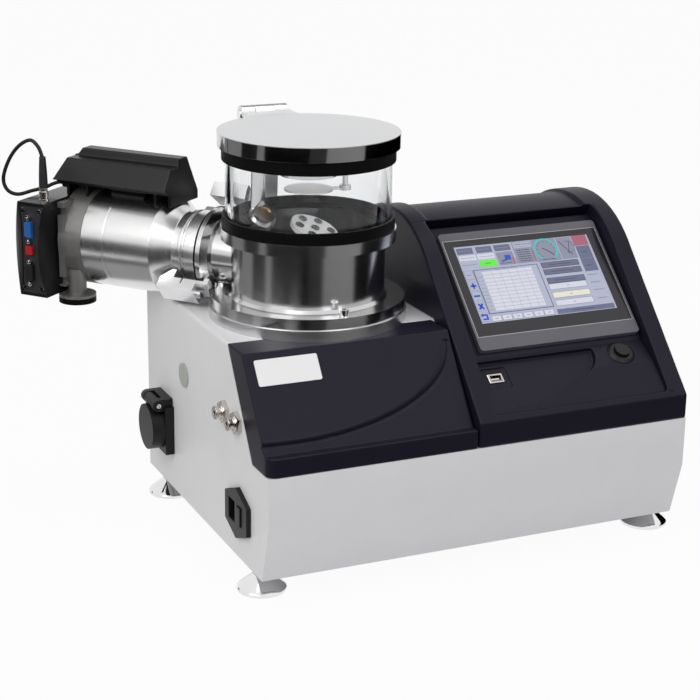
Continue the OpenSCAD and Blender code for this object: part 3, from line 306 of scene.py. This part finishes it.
# %% Finish and edge softness of each solid, in millimetres
merge_gap = 0.00001
sharp_angle = math.radians(28)
dress = [
    ("white_paint", white_paint, 1.2, ["lower_case", "base_pan"]),
    ("white_paint", plate_white, 0.2, ["name_plate"]),
    ("black_part", black_part, 0.8, ["mains_inlet", "fuse_drawer", "outlet_base", "fan_frame",
                                     "fan_rotor", "button_ring"]),
    ("black_part", black_part, 2.5, ["outlet_flap"]),
    ("black_part", plug_colours, 0.3, ["lead_plug"]),
    ("bezel_grey", bezel_grey, 0.7, ["touch_panel_bezel"]),
    ("screen", dark_glass, 0.2, ["touch_panel_glass"]),
    ("polished_steel", polished_steel, 0.4, ["chamber_body", "cathode_shield", "shutter_bush",
                                             "thickness_sensor"]),
    ("polished_steel", nickel, 0.4, ["gas_fittings", "usb_socket"]),
    ("polished_steel", table_plate, 0.4, ["specimen_table"]),
    ("aluminium", dark_stub, 0.4, ["specimen_stubs"]),
    ("brushed_steel", brushed_disc, 0.4, ["base_disc", "shutter", "stage_stand", "stage_yoke",
                                          "vacuum_gauge"]),
    ("brushed_steel", lid_steel, 0.4, ["lid_plate"]),
    ("brushed_steel", black_part, 1.2, ["power_button"]),
    ("brushed_steel", barrel_steel, 0.4, ["pump_envelope"]),
    ("aluminium", aluminium, 0.5, ["hinge_post", "hinge_arm", "claw_clamps", "pump_rotor",
                                   "power_supply"]),
    ("chrome", chrome, 0.3, ["foot_front_left", "foot_front_right", "foot_rear_left", "foot_rear_right",
                             "outlet_flap_pin", "flange_screws", "hinge_pin", "clamp_screws",
                             "box_screws"]),
    ("seal_rubber", seal_rubber, 0.5, ["lower_seal", "upper_seal", "port_seal_ring", "foreline_cap"]),
    ("clear_glass", clear_glass, 0.3, ["glass_cylinder"]),
    ("gold", gold, 0.3, ["sputter_target", "sensor_crystal"]),
    ("cast_grey", cast_grey, 1.5, ["pump_base"]),
    ("blue_socket", socket_colours, 0.3, ["drive_sockets"]),
    ("plug_grey", plug_grey, 0.8, ["side_plug"]),
    ("board_green", board_green, 0.1, ["control_board"]),
]
for slot_name, mat, edge, names in dress:
    for name in names:
        obj = nodes[name]
        obj.data.materials.clear()
        obj.data.materials.append(mat)
        obj.data.polygons.foreach_set("use_smooth", [True] * len(obj.data.polygons))
        weld = obj.modifiers.new("weld", "WELD")
        weld.merge_threshold = merge_gap
        bevel = obj.modifiers.new("soft_edges", "BEVEL")
        bevel.width = edge / 1000
        bevel.segments = 2
        bevel.limit_method = "ANGLE"
        bevel.angle_limit = sharp_angle
        obj.modifiers.new("flat_faces", "WEIGHTED_NORMAL")
dressed = sum(len(names) for *_, names in dress)
print("dressed", dressed, "solids of", len(nodes), "and the others get a piece in their place")

# %% [markdown]
# ## Moulded covers
#
# The black covers come out of a mould, so no edge on them is sharp: every corner runs over a few
# millimetres. A bevel struggles here, because the sweeping step on the left cover is lower than its
# corners are round. A sculptor's way works better: a copy of the solid is rebuilt in small even faces
# by a voxel remesh, smoothed until its edges are round, and then thinned where it is flat. The dark
# groove beside the left cover's step is pressed into the new faces along the same ellipse.

# %% A helper that rounds a copy of a solid all over
def moulded(name, voxel, rounds, share, mat, cut=None):
    """Rebuilds a copy of the solid in faces of the size voxel, smooths it by so many rounds and keeps a
    share of its faces. cut is two corners in the pump's axes: what is between them goes first."""
    piece = bpy.data.objects.new(name + "_moulding", nodes[name].data.copy())
    scene.collection.objects.link(piece)
    bpy.ops.object.select_all(action="DESELECT")
    bpy.context.view_layer.objects.active = piece
    piece.select_set(True)
    bpy.ops.object.mode_set(mode="EDIT")
    bpy.ops.mesh.select_all(action="SELECT")
    bpy.ops.mesh.remove_doubles(threshold=merge_gap)
    bpy.ops.mesh.normals_make_consistent(inside=False)
    bpy.ops.object.mode_set(mode="OBJECT")
    if cut:
        low, high = (Vector(corner) for corner in cut)
        size = (*(high - low), 1)
        bpy.ops.mesh.primitive_cube_add(size=1)
        cutter = bpy.context.object
        cutter.data.transform(port_place @ Matrix.Translation((low + high) / 2) @ Matrix.Diagonal(size))
        bpy.context.view_layer.objects.active = piece
        trim = piece.modifiers.new("trim", "BOOLEAN")
        trim.object = cutter
        bpy.ops.object.modifier_apply(modifier=trim.name)
        bpy.data.objects.remove(cutter)
        bpy.ops.object.select_all(action="DESELECT")
        piece.select_set(True)
    piece.data.remesh_voxel_size = voxel
    bpy.ops.object.voxel_remesh()
    ease = piece.modifiers.new("round_edges", "SMOOTH")
    ease.factor, ease.iterations = 0.5, rounds
    bpy.ops.object.modifier_apply(modifier=ease.name)
    thin = piece.modifiers.new("thin_flats", "DECIMATE")
    thin.ratio = share
    bpy.ops.object.modifier_apply(modifier=thin.name)
    bpy.ops.object.shade_smooth()
    piece.data.materials.clear()
    piece.data.materials.append(mat)
    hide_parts(name)
    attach(piece, "case")
    print(piece.name, len(piece.data.polygons), "faces")
    return piece


# %% Left cover, with a soft groove along its sweeping step
left_moulding = moulded("left_cover", 0.0012, 10, 0.9, black_cover)
slope_foot, slope_tilt = (-0.012, -0.040, 0.155), 53.2
arc_centre, arc_half = (0.032, 0.094), (0.186, 0.0845)
skin_depth, arc_start = -0.006, -0.010
groove_depth, groove_share = 0.0018, 0.028
slope_place = Matrix.Translation(slope_foot) @ turn_about(slope_tilt, "X")
to_slope = slope_place.inverted()
inward = slope_place.to_3x3() @ Vector((0, 0, -1))
for vertex in left_moulding.data.vertices:
    p = to_slope @ vertex.co
    if p.z > skin_depth and arc_start < p.y < arc_centre[1]:
        off = math.hypot((p.x - arc_centre[0]) / arc_half[0], (p.y - arc_centre[1]) / arc_half[1]) - 1
        vertex.co += inward * groove_depth * math.exp(-(off / groove_share) ** 2)
print("groove pressed in by", groove_depth * 1000, "mm")

# %% Console cover and control tray
moulded("console_cover", 0.0015, 10, 0.3, black_cover)
moulded("control_tray", 0.0010, 5, 0.5, black_cover)

# %% [markdown]
# ## Fan housing
#
# The fan housing is moulded too, so it is rounded in the same way. Its front skirt stops under the
# eave: the barrel of the pump shows below it, across a dark gap. A cube takes the skirt away first.

# %% Fan housing
skirt = ((0.140, 0.0262, 0.030), (0.300, 0.045, 0.0595))
moulded("fan_cover", 0.0010, 5, 0.4, fan_shell, skirt)

# %% [markdown]
# ## Drive box
#
# Seen from the front, the box that drives the pump is bent like a bracket: both upright edges of its
# face bow away from the pump, and a flat panel for the sockets lies a little deeper. A cube is cut
# into strips by bisecting it, the rows of points are slid along a parabola, and the panel's faces are
# extruded inwards. A bevel then takes the knife off every edge at once.

# %% Drive box as a bent, panelled block
box_near, box_far = 0.272, 0.306
box_back, box_front = -0.054, 0.076
box_low, box_high = -0.056, 0.046
panel_near, panel_far = 0.2748, 0.3030
panel_margin, panel_deep, front_band = 0.004, 0.0012, 0.030
swell, lean, panel_bow = 0.010, 0.009, 0.0015
rows = 14
tiny, slack = 1e-5, 0.002
box_sharp = math.radians(35)
bpy.ops.mesh.primitive_cube_add(size=1)
shell = bpy.context.object
shell.name = "drive_box_shell"
box_size = Vector((box_far - box_near, box_front - box_back, box_high - box_low))
box_centre = Vector(((box_far + box_near) / 2, (box_front + box_back) / 2, (box_high + box_low) / 2))
shell.data.transform(Matrix.Translation(box_centre) @ Matrix.Diagonal((*box_size, 1)))
cuts = [((at, 0, 0), (1, 0, 0)) for at in (panel_near, panel_far)]
cuts += [((0, box_front - front_band, 0), (0, 1, 0))]
for i in range(rows + 1):
    height = box_low + panel_margin + i * (box_size.z - 2 * panel_margin) / rows
    cuts.append(((0, 0, height), (0, 0, 1)))
for at, across in cuts:
    bpy.ops.object.mode_set(mode="EDIT")
    bpy.ops.mesh.select_all(action="SELECT")
    bpy.ops.mesh.bisect(plane_co=at, plane_no=across)
    bpy.ops.object.mode_set(mode="OBJECT")
for vertex in shell.data.vertices:
    out, side, up = vertex.co
    bend = 1 - ((up - box_centre.z) / (box_size.z / 2)) ** 2
    in_front = side > box_front - slack
    if abs(out - box_far) < tiny:
        vertex.co.x += swell * bend
        if in_front:
            vertex.co.y -= lean * bend
    elif in_front:
        vertex.co.x += (swell if out < box_centre.x else -panel_bow) * bend
for face in shell.data.polygons:
    middle = face.center
    corners = [shell.data.vertices[i].co for i in face.vertices]
    in_width = panel_near < middle.x < panel_far + slack
    in_height = box_low + panel_margin < middle.z < box_high - panel_margin
    face.select = in_width and in_height and all(abs(co.y - box_front) < tiny for co in corners)
panel_faces = sum(face.select for face in shell.data.polygons)
panel_enamel = grain(finish("panel_enamel", (0.022, 0.021, 0.023), 0.5, spec=0.3), 900, 0.1)
shell.data.materials.append(box_enamel)
shell.data.materials.append(panel_enamel)
bpy.ops.object.mode_set(mode="EDIT")
bpy.ops.mesh.select_mode(type="FACE")
bpy.context.object.active_material_index = 1
bpy.ops.mesh.extrude_region_move(TRANSFORM_OT_translate={"value": (0, -panel_deep, 0)})
bpy.ops.object.material_slot_assign()
bpy.ops.object.mode_set(mode="OBJECT")
soften = shell.modifiers.new("soften", "BEVEL")
soften.width, soften.segments = 0.0012, 3
soften.limit_method, soften.angle_limit = "ANGLE", box_sharp
bpy.ops.object.modifier_apply(modifier=soften.name)
shell.data.transform(port_place)
bpy.ops.object.mode_set(mode="EDIT")
bpy.ops.mesh.select_all(action="SELECT")
bpy.ops.mesh.normals_make_consistent(inside=False)
bpy.ops.object.mode_set(mode="OBJECT")
bpy.ops.object.shade_smooth_by_angle(angle=box_sharp)
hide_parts("drive_box")
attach(shell, "case")
print("drive box:", panel_faces, "panel strips,", len(shell.data.polygons), "faces")

# %% [markdown]
# ## The lit screen
#
# The touch panel shows a control page: buttons along the top, a table of values, two round gauges
# and a column of fields. It could be a picture on the glass, but flat tiles a tenth of a millimetre
# thick stay sharp at any size and need no image. Each tile starts as a cube of the right size, its
# rim is bevelled, and the tiles of one page are joined into one piece. Rows of small dashes stand
# for captions. Sizes are millimetres from the panel's lower left corner.

# %% The panel's plane and the lit colours
panel_tilt = 42.5
panel_corner = Vector((0.2454, 0.0137, 0.2138))
panel_axes = Matrix.Translation(panel_corner) @ turn_about(panel_tilt, "X")
glass_depth = 0.0004
tile_high, tile_rim = 0.1, 0.00003


def lit(name, colour, glow=0.36):
    mat = grain(finish(name, colour, 0.3, vary=0.03, cloud=120), 2500, 0.01)
    shader = mat.node_tree.nodes["Principled BSDF"]
    shader.inputs["Emission Color"].default_value = (*colour, 1)
    shader.inputs["Emission Strength"].default_value = glow
    return mat


page_colours = {
    "pale": lit("page_pale", (0.34, 0.36, 0.46)), "slate": lit("page_slate", (0.10, 0.115, 0.19)),
    "white": lit("page_white", (0.52, 0.53, 0.60)), "cream": lit("page_cream", (0.62, 0.60, 0.50)),
    "ink": lit("page_ink", (0.03, 0.03, 0.05)), "blue": lit("page_blue", (0.01, 0.06, 0.42)),
    "green": lit("page_green", (0.08, 0.72, 0.02)), "cyan": lit("page_cyan", (0.04, 0.42, 0.40)),
    "red": lit("page_red", (0.30, 0.09, 0.13)), "line": lit("page_line", (0.20, 0.21, 0.28)),
}

# %% A helper that lays one tile
page_tiles = []


def tile(u0, w0, u1, w1, colour, level=1, turn=0):
    """A thin tile from corner (u0, w0) to (u1, w1), level times a tenth of a millimetre high."""
    bpy.ops.mesh.primitive_cube_add(size=1)
    obj = bpy.context.object
    high = level * tile_high
    obj.data.transform(Matrix.Diagonal((abs(u1 - u0) / 1000, abs(w1 - w0) / 1000, high / 1000, 1)))
    bpy.ops.object.mode_set(mode="EDIT")
    bpy.ops.mesh.select_all(action="SELECT")
    bpy.ops.mesh.bevel(offset=tile_rim, segments=1)
    bpy.ops.object.mode_set(mode="OBJECT")
    centre = Vector(((u0 + u1) / 2000, (w0 + w1) / 2000, high / 2000 - glass_depth))
    obj.data.transform(panel_axes @ Matrix.Translation(centre) @ turn_about(turn, "Z"))
    obj.data.materials.append(page_colours[colour])
    page_tiles.append(obj)


def dashes(u0, u1, w, colour="ink", level=3, dash=2.6, space=0.7, high=0.7):
    """A caption drawn as a row of short dashes, of three lengths in turn."""
    shares, shortest = (0.6, 1, 0.8), 0.8
    u = u0
    step = 0
    while u < u1 - shortest:
        end = min(u + dash * shares[step % len(shares)], u1)
        tile(u, w - high / 2, end, w + high / 2, colour, level)
        u = end + space
        step += 1


# %% Ground, header buttons and icons
tile(13, 31.5, 175, 126, "pale", 1)
for u0, u1 in ((14.7, 33.5), (37.4, 56), (59, 78.3)):
    tile(u0, 116.3, u1, 123.9, "slate", 2)
    dashes(u0 + 2.5, u1 - 2.5, 120.1, "line")
for u0, u1 in ((14.7, 34.5), (36.3, 56.5)):
    tile(u0, 108.2, u1, 114.6, "white", 2)
    dashes(u0 + 2, u1 - 2, 111.4, "line")
tile(36.3, 99.2, 56, 106.6, "green", 3)
dashes(42, 50, 102.9, "ink", 4)
dashes(15.5, 33, 102.9, "line")
tile(58.6, 98.4, 78.6, 114.6, "line", 2)
tile(67.5, 104.5, 74.5, 110.5, "blue", 3)
tile(62, 103.2, 69, 105, "blue", 3, 18)
tile(75.8, 98.8, 77.4, 107.4, "red", 3)
dashes(60, 74, 100.8, "ink")

# %% List box and alarm column
tile(81, 98.4, 104.6, 125, "line", 2)
tile(82.5, 117.4, 103.5, 124.2, "pale", 3)
dashes(84, 102.5, 121.8, "ink", 4)
dashes(84, 102.5, 119.2, "line", 4)
for i in range(6):
    dashes(84, 99, 114.6 - i * 2.7, "ink", 4, high=0.9)
tile(79.6, 98.4, 80.4, 106, "red", 4)
tile(102, 99.5, 103.2, 113.5, "red", 4)

# %% Table of values with its ruled lines
tile(24.6, 41.5, 102, 96, "slate", 2)
tile(26, 42.6, 100.8, 95, "pale", 3)
tile(34, 44.6, 93.5, 92.8, "white", 4)
for i in range(10):
    tile(34, 48.6 + i * 4.4, 93.5, 48.9 + i * 4.4, "line", 5)
    dashes(27.2, 33, 46.6 + i * 4.4, "line", 4, dash=2)
for i in range(5):
    tile(45.5 + i * 10, 44.6, 45.7 + i * 10, 92.8, "line", 5)
dashes(50, 78, 94, "line", 4)

# %% Keys on the left and along the foot
for w in (90.5, 77, 64.6, 51.8, 38.7):
    tile(13.8, w - 5.6, 24, w + 5.6, "line", 2)
    tile(14.2, w - 5.2, 23.6, w + 5.2, "pale", 3)
dashes(16, 22, 90.5, "blue", 4)
tile(15.4, 75.9, 22.4, 78.1, "blue", 4)
tile(17.8, 73.5, 20, 80.5, "blue", 4)
tile(15.2, 63.5, 22.2, 65.7, "blue", 4)
tile(14.6, 50.6, 23, 53, "blue", 4, 52)
tile(14.6, 50.6, 23, 53, "blue", 4, -52)
tile(15.6, 35.2, 22, 37.2, "blue", 4)
tile(20.4, 35.2, 22.4, 42.2, "blue", 4)
tile(16.4, 40.2, 22.4, 42.2, "blue", 4)
tile(14.6, 39.9, 18.2, 42.5, "blue", 4, 45)
for i in range(6):
    u = 25.6 + i * 12.5
    tile(u, 32.5, u + 11.4, 39.2, "line", 2)
    tile(u + 0.5, 33, u + 10.9, 38.7, "white", 3)
    dashes(u + 4.2, u + 7.4, 35.8, "ink", 4, dash=1.6)

# %% Fields and bars on the right
for w in (89.8, 81.1, 70.2):
    tile(106.0, w - 0.5, 152, w + 6.7, "ink", 2)
    tile(106.6, w, 151.4, w + 6.2, "slate", 3)
    dashes(115, 142, w + 3.1, "ink", 4)
for w, colour in ((62.6, "white"), (52, "cream"), (42.2, "white")):
    tile(105.2, w - 0.4, 151.4, w + 7, "line", 2)
    tile(105.9, w, 150.8, w + 6.4, colour, 3)
    dashes(127, 129.5, w + 3.2, "ink", 4, dash=1.4)
tile(103.4, 32.2, 173, 38, "slate", 2)
dashes(122, 148, 35.1, "ink", 3)
tile(154.8, 113, 173, 126, "red", 2)
tile(155.7, 80, 172.3, 112.4, "slate", 2)
tile(155.7, 96, 172.3, 96.5, "line", 3)
for w in (104.5, 87.5):
    dashes(160, 167, w, "ink", 3)
for w in (75.5, 66, 56.5, 46):
    dashes(156.5, 170, w, "slate", 2, dash=3.4)
print("tiles so far", len(page_tiles))

# %% [markdown]
# ## The round gauges on the screen
#
# A gauge is a pale disc with a coloured arc, short marks and a needle. The arc starts as a filled
# circle: inset leaves a ring of faces, the middle and a wedge at the foot are deleted, and what is
# left is extruded by a tenth of a millimetre.

# %% A helper for a gauge
def gauge(u, w, r, thick, gap_from, gap_to, colour, level):
    """A flat arc round (u, w), open between two bearings in degrees."""
    bpy.ops.mesh.primitive_circle_add(vertices=64, radius=r / 1000, fill_type="NGON")
    obj = bpy.context.object
    bpy.ops.object.mode_set(mode="EDIT")
    bpy.ops.mesh.select_all(action="SELECT")
    bpy.ops.mesh.inset(thickness=thick / 1000)
    bpy.ops.mesh.delete(type="FACE")
    bpy.ops.mesh.select_all(action="DESELECT")
    bpy.ops.object.mode_set(mode="OBJECT")
    for face in obj.data.polygons:
        bearing = math.degrees(math.atan2(face.center.y, face.center.x)) % 360
        face.select = gap_from < bearing < gap_to
    bpy.ops.object.mode_set(mode="EDIT")
    bpy.ops.mesh.select_mode(type="FACE")
    bpy.ops.mesh.delete(type="FACE")
    bpy.ops.mesh.select_all(action="SELECT")
    bpy.ops.mesh.extrude_region_move(TRANSFORM_OT_translate={"value": (0, 0, 0.0001)})
    bpy.ops.mesh.select_all(action="SELECT")
    bpy.ops.mesh.normals_make_consistent(inside=False)
    bpy.ops.object.mode_set(mode="OBJECT")
    obj.data.transform(panel_axes @ Matrix.Translation((u / 1000, w / 1000, level * 0.0001 - glass_depth)))
    obj.data.materials.append(page_colours[colour])
    page_tiles.append(obj)


def needle(u, w, reach, bearing, level, wide=0.7):
    """A thin bar that starts at (u, w)."""
    a = math.radians(bearing)
    mid = (u + math.cos(a) * reach / 2, w + math.sin(a) * reach / 2)
    tile(mid[0] - reach / 2, mid[1] - wide / 2, mid[0] + reach / 2, mid[1] + wide / 2, "ink", level, bearing)


tile(105, 97.6, 134, 125.6, "line", 2)
gauge(119, 112, 14.2, 2.0, 235, 305, "cyan", 3)
mark_reach = 10.4
for i in range(11):
    bearing = -50 + i * 28
    across, up = (mark_reach * f(math.radians(bearing)) for f in (math.cos, math.sin))
    tile(118.4 + across, 111.7 + up, 119.6 + across, 112.3 + up, "ink", 4, bearing)
needle(119, 112, 10.5, -42, 5)
needle(119, 112, 4, 150, 5)
tile(135, 98, 154, 125.4, "line", 2)
needle(137.5, 121, 22, -58, 3, 0.8)
gauge(147, 113, 7.4, 0.6, 120, 240, "slate", 3)
needle(145, 104.5, 15, 72, 4, 0.6)
dashes(111, 127, 100, "ink", 4)

# %% Join the page into one piece
bpy.ops.object.select_all(action="DESELECT")
for obj in page_tiles:
    obj.select_set(True)
bpy.context.view_layer.objects.active = page_tiles[0]
bpy.ops.object.join()
page = bpy.context.object
page.name = "screen_page"
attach(page, "case")
print("screen page has", len(page.data.polygons), "faces")

# %% [markdown]
# ## The bright line round the glass
#
# The glass sits in the frame with a thin bright lip. A plane of the glass's size is inset, its middle
# is deleted, and the narrow frame that stays is extruded to the lip's height.

# %% Lip of the display
display_wide, display_high = 0.1858, 0.1186
lip_wide, lip_high = 0.0007, 0.0004
display_centre = (0.095, 0.0749, -glass_depth)
bpy.ops.mesh.primitive_plane_add(size=1)
lip = bpy.context.object
lip.name = "display_lip"
lip.data.transform(Matrix.Diagonal((display_wide, display_high, 1, 1)))
bpy.ops.object.mode_set(mode="EDIT")
bpy.ops.mesh.select_all(action="SELECT")
bpy.ops.mesh.inset(thickness=lip_wide)
bpy.ops.mesh.delete(type="FACE")
bpy.ops.mesh.select_all(action="SELECT")
bpy.ops.mesh.extrude_region_move(TRANSFORM_OT_translate={"value": (0, 0, lip_high)})
bpy.ops.mesh.select_all(action="SELECT")
bpy.ops.mesh.normals_make_consistent(inside=False)
bpy.ops.object.mode_set(mode="OBJECT")
lip.data.transform(panel_axes @ Matrix.Translation(display_centre))
lip.data.materials.append(grain(finish("lip_silver", (0.42, 0.42, 0.45), 0.3, 0.4), 900, 0.02))
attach(lip, "case")
print("lip faces", len(lip.data.polygons))

# %% [markdown]
# ## Studio
#
# The machine was photographed on white. The floor and the world show plain white to the camera, in
# mirrors and through glass. For every other ray the world is dimmer, and together with three soft
# lamps it sets how bright the object is. The floor keeps a small share of its own shading, so the
# feet cast a faint shadow.

# %% Floor and world
floor_wide, white_share = 16, 0.95
world_light, world_seen = 0.42, 1.0
bpy.ops.mesh.primitive_plane_add(size=floor_wide, location=(0.2, 0.2, 0))
floor = bpy.context.object
floor.name = "studio_floor"
bpy.ops.object.mode_set(mode="EDIT")
bpy.ops.mesh.select_all(action="SELECT")
bpy.ops.mesh.subdivide(number_cuts=3)
bpy.ops.object.mode_set(mode="OBJECT")
floor_mat = finish("studio_floor", (0.62, 0.62, 0.62), 0.9, vary=0.0)
tree = floor_mat.node_tree


def seen_white(tree):
    """1 for rays from the camera, from a mirror and through glass."""
    rays = tree.nodes.new("ShaderNodeLightPath")
    first = tree.nodes.new("ShaderNodeMath")
    second = tree.nodes.new("ShaderNodeMath")
    first.operation = second.operation = "MAXIMUM"
    tree.links.new(rays.outputs["Is Camera Ray"], first.inputs[0])
    tree.links.new(rays.outputs["Is Transmission Ray"], first.inputs[1])
    tree.links.new(first.outputs[0], second.inputs[0])
    tree.links.new(rays.outputs["Is Glossy Ray"], second.inputs[1])
    return second.outputs[0]


glow = tree.nodes.new("ShaderNodeEmission")
mix = tree.nodes.new("ShaderNodeMixShader")
pick = tree.nodes.new("ShaderNodeMixShader")
mix.inputs["Fac"].default_value = white_share
matt = tree.nodes["Principled BSDF"].outputs["BSDF"]
link(floor_mat, matt, mix.inputs[1])
link(floor_mat, glow.outputs["Emission"], mix.inputs[2])
link(floor_mat, seen_white(tree), pick.inputs["Fac"])
link(floor_mat, matt, pick.inputs[1])
link(floor_mat, mix.outputs["Shader"], pick.inputs[2])
link(floor_mat, pick.outputs["Shader"], tree.nodes["Material Output"].inputs["Surface"])
floor.data.materials.append(floor_mat)

world = bpy.data.worlds.new("white_studio")
scene.world = world
world.use_nodes = True
tree = world.node_tree
back = tree.nodes["Background"]
back.inputs["Color"].default_value = (1, 1, 1, 1)
level = tree.nodes.new("ShaderNodeMapRange")
level.inputs["To Min"].default_value = world_light
level.inputs["To Max"].default_value = world_seen
tree.links.new(seen_white(tree), level.inputs["Value"])
tree.links.new(level.outputs["Result"], back.inputs["Strength"])
print("world", world_light, "as light and", world_seen, "as background")

# %% Lamps
def lamp(name, at, target, size, power, colour):
    """A rectangular area lamp that faces its target."""
    data = bpy.data.lights.new(name, "AREA")
    data.shape = "RECTANGLE"
    data.size, data.size_y = size
    data.energy = power
    data.color = colour
    obj = bpy.data.objects.new(name, data)
    scene.collection.objects.link(obj)
    obj.location = at
    obj.rotation_euler = (Vector(target) - Vector(at)).to_track_quat("-Z", "Y").to_euler()
    print(name, power, "W")


lamp("key_lamp", (-2.0, -1.0, 2.0), (0.15, 0.1, 0.2), (1.8, 1.8), 32, (1, 1, 0.98))
lamp("fill_lamp", (0.8, -2.6, 1.8), (0.2, 0.1, 0.2), (1.6, 1.6), 17, (0.95, 0.94, 1.0))
lamp("top_lamp", (0.2, 0.3, 2.6), (0.2, 0.1, 0.2), (2.2, 1.6), 14, (1, 1, 1))

# %% [markdown]
# ## Boards for the steel to reflect
#
# Polished steel in a white room looks like white paint. A photographer stands dark and grey boards
# round it, just outside the picture. Here they are bent round the machine, so that each one fills a
# known width of the chamber's curved wall, and only mirrors can see them.

# %% Bent boards
board_radius, board_foot, board_top = 0.86, 0.002, 0.34
bent_boards = [
    ("board_left_dark", -201, -176, 0.02),
    ("board_left_strip", -176, -166, 0.40),
    ("board_left_black", -166, -112, 0.0),
    ("board_front_dark", -112, -92, 0.06),
    ("board_front_grey", -92, -44, 0.46),
    ("board_right_dark", -44, 44, 0.0),
    ("board_back_grey", 124, 159, 0.40),
]


def only_in_mirrors(obj, shade):
    """Paints a board matt in one shade of grey and shows it to mirrors alone."""
    obj.data.materials.append(finish(obj.name, (shade,) * 3, 0.9, spec=0.0, vary=0.02, cloud=3))
    obj.visible_camera = obj.visible_diffuse = obj.visible_shadow = obj.visible_transmission = False


def bent_board(name, start, end, shade):
    """Part of an upright tube round the chamber, between two bearings in degrees."""
    bpy.ops.mesh.primitive_cylinder_add(vertices=180, radius=board_radius, depth=board_top - board_foot,
                                        end_fill_type="NOTHING",
                                        location=(*chamber_axis, (board_foot + board_top) / 2))
    obj = bpy.context.object
    obj.name = name
    for face in obj.data.polygons:
        bearing = math.degrees(math.atan2(face.center.y, face.center.x))
        face.select = (bearing - start) % 360 > end - start
    bpy.ops.object.mode_set(mode="EDIT")
    bpy.ops.mesh.select_mode(type="FACE")
    bpy.ops.mesh.delete(type="FACE")
    bpy.ops.object.mode_set(mode="OBJECT")
    only_in_mirrors(obj, shade)


for board in bent_boards:
    bent_board(*board)
print(len(bent_boards), "bent boards")

# %% Flat boards: one over and behind the pump, and mats on the floor to the left and in front
flat_boards = [
    ("board_over_pump", (0.1, 1.15, 1.5), (1.8, 1.3), 0.16),
    ("mat_left_near", (-0.27, 0.2, 0.0015), (0.28, 1.2), 0.42),
    ("mat_left_dark", (-0.49, 0.2, 0.0015), (0.16, 1.2), 0.02),
    ("mat_front_dark", (0.30, -0.62, 0.0015), (1.3, 0.9), 0.015),
]


def flat_board(name, at, size, shade):
    """A level board of that size, with its middle at that place."""
    bpy.ops.mesh.primitive_plane_add(size=1, location=at)
    obj = bpy.context.object
    obj.name = name
    obj.scale = (*size, 1)
    bpy.ops.object.mode_set(mode="EDIT")
    bpy.ops.mesh.select_all(action="SELECT")
    bpy.ops.mesh.subdivide(number_cuts=1)
    bpy.ops.object.mode_set(mode="OBJECT")
    only_in_mirrors(obj, shade)


for board in flat_boards:
    flat_board(*board)
print(len(flat_boards), "flat boards")
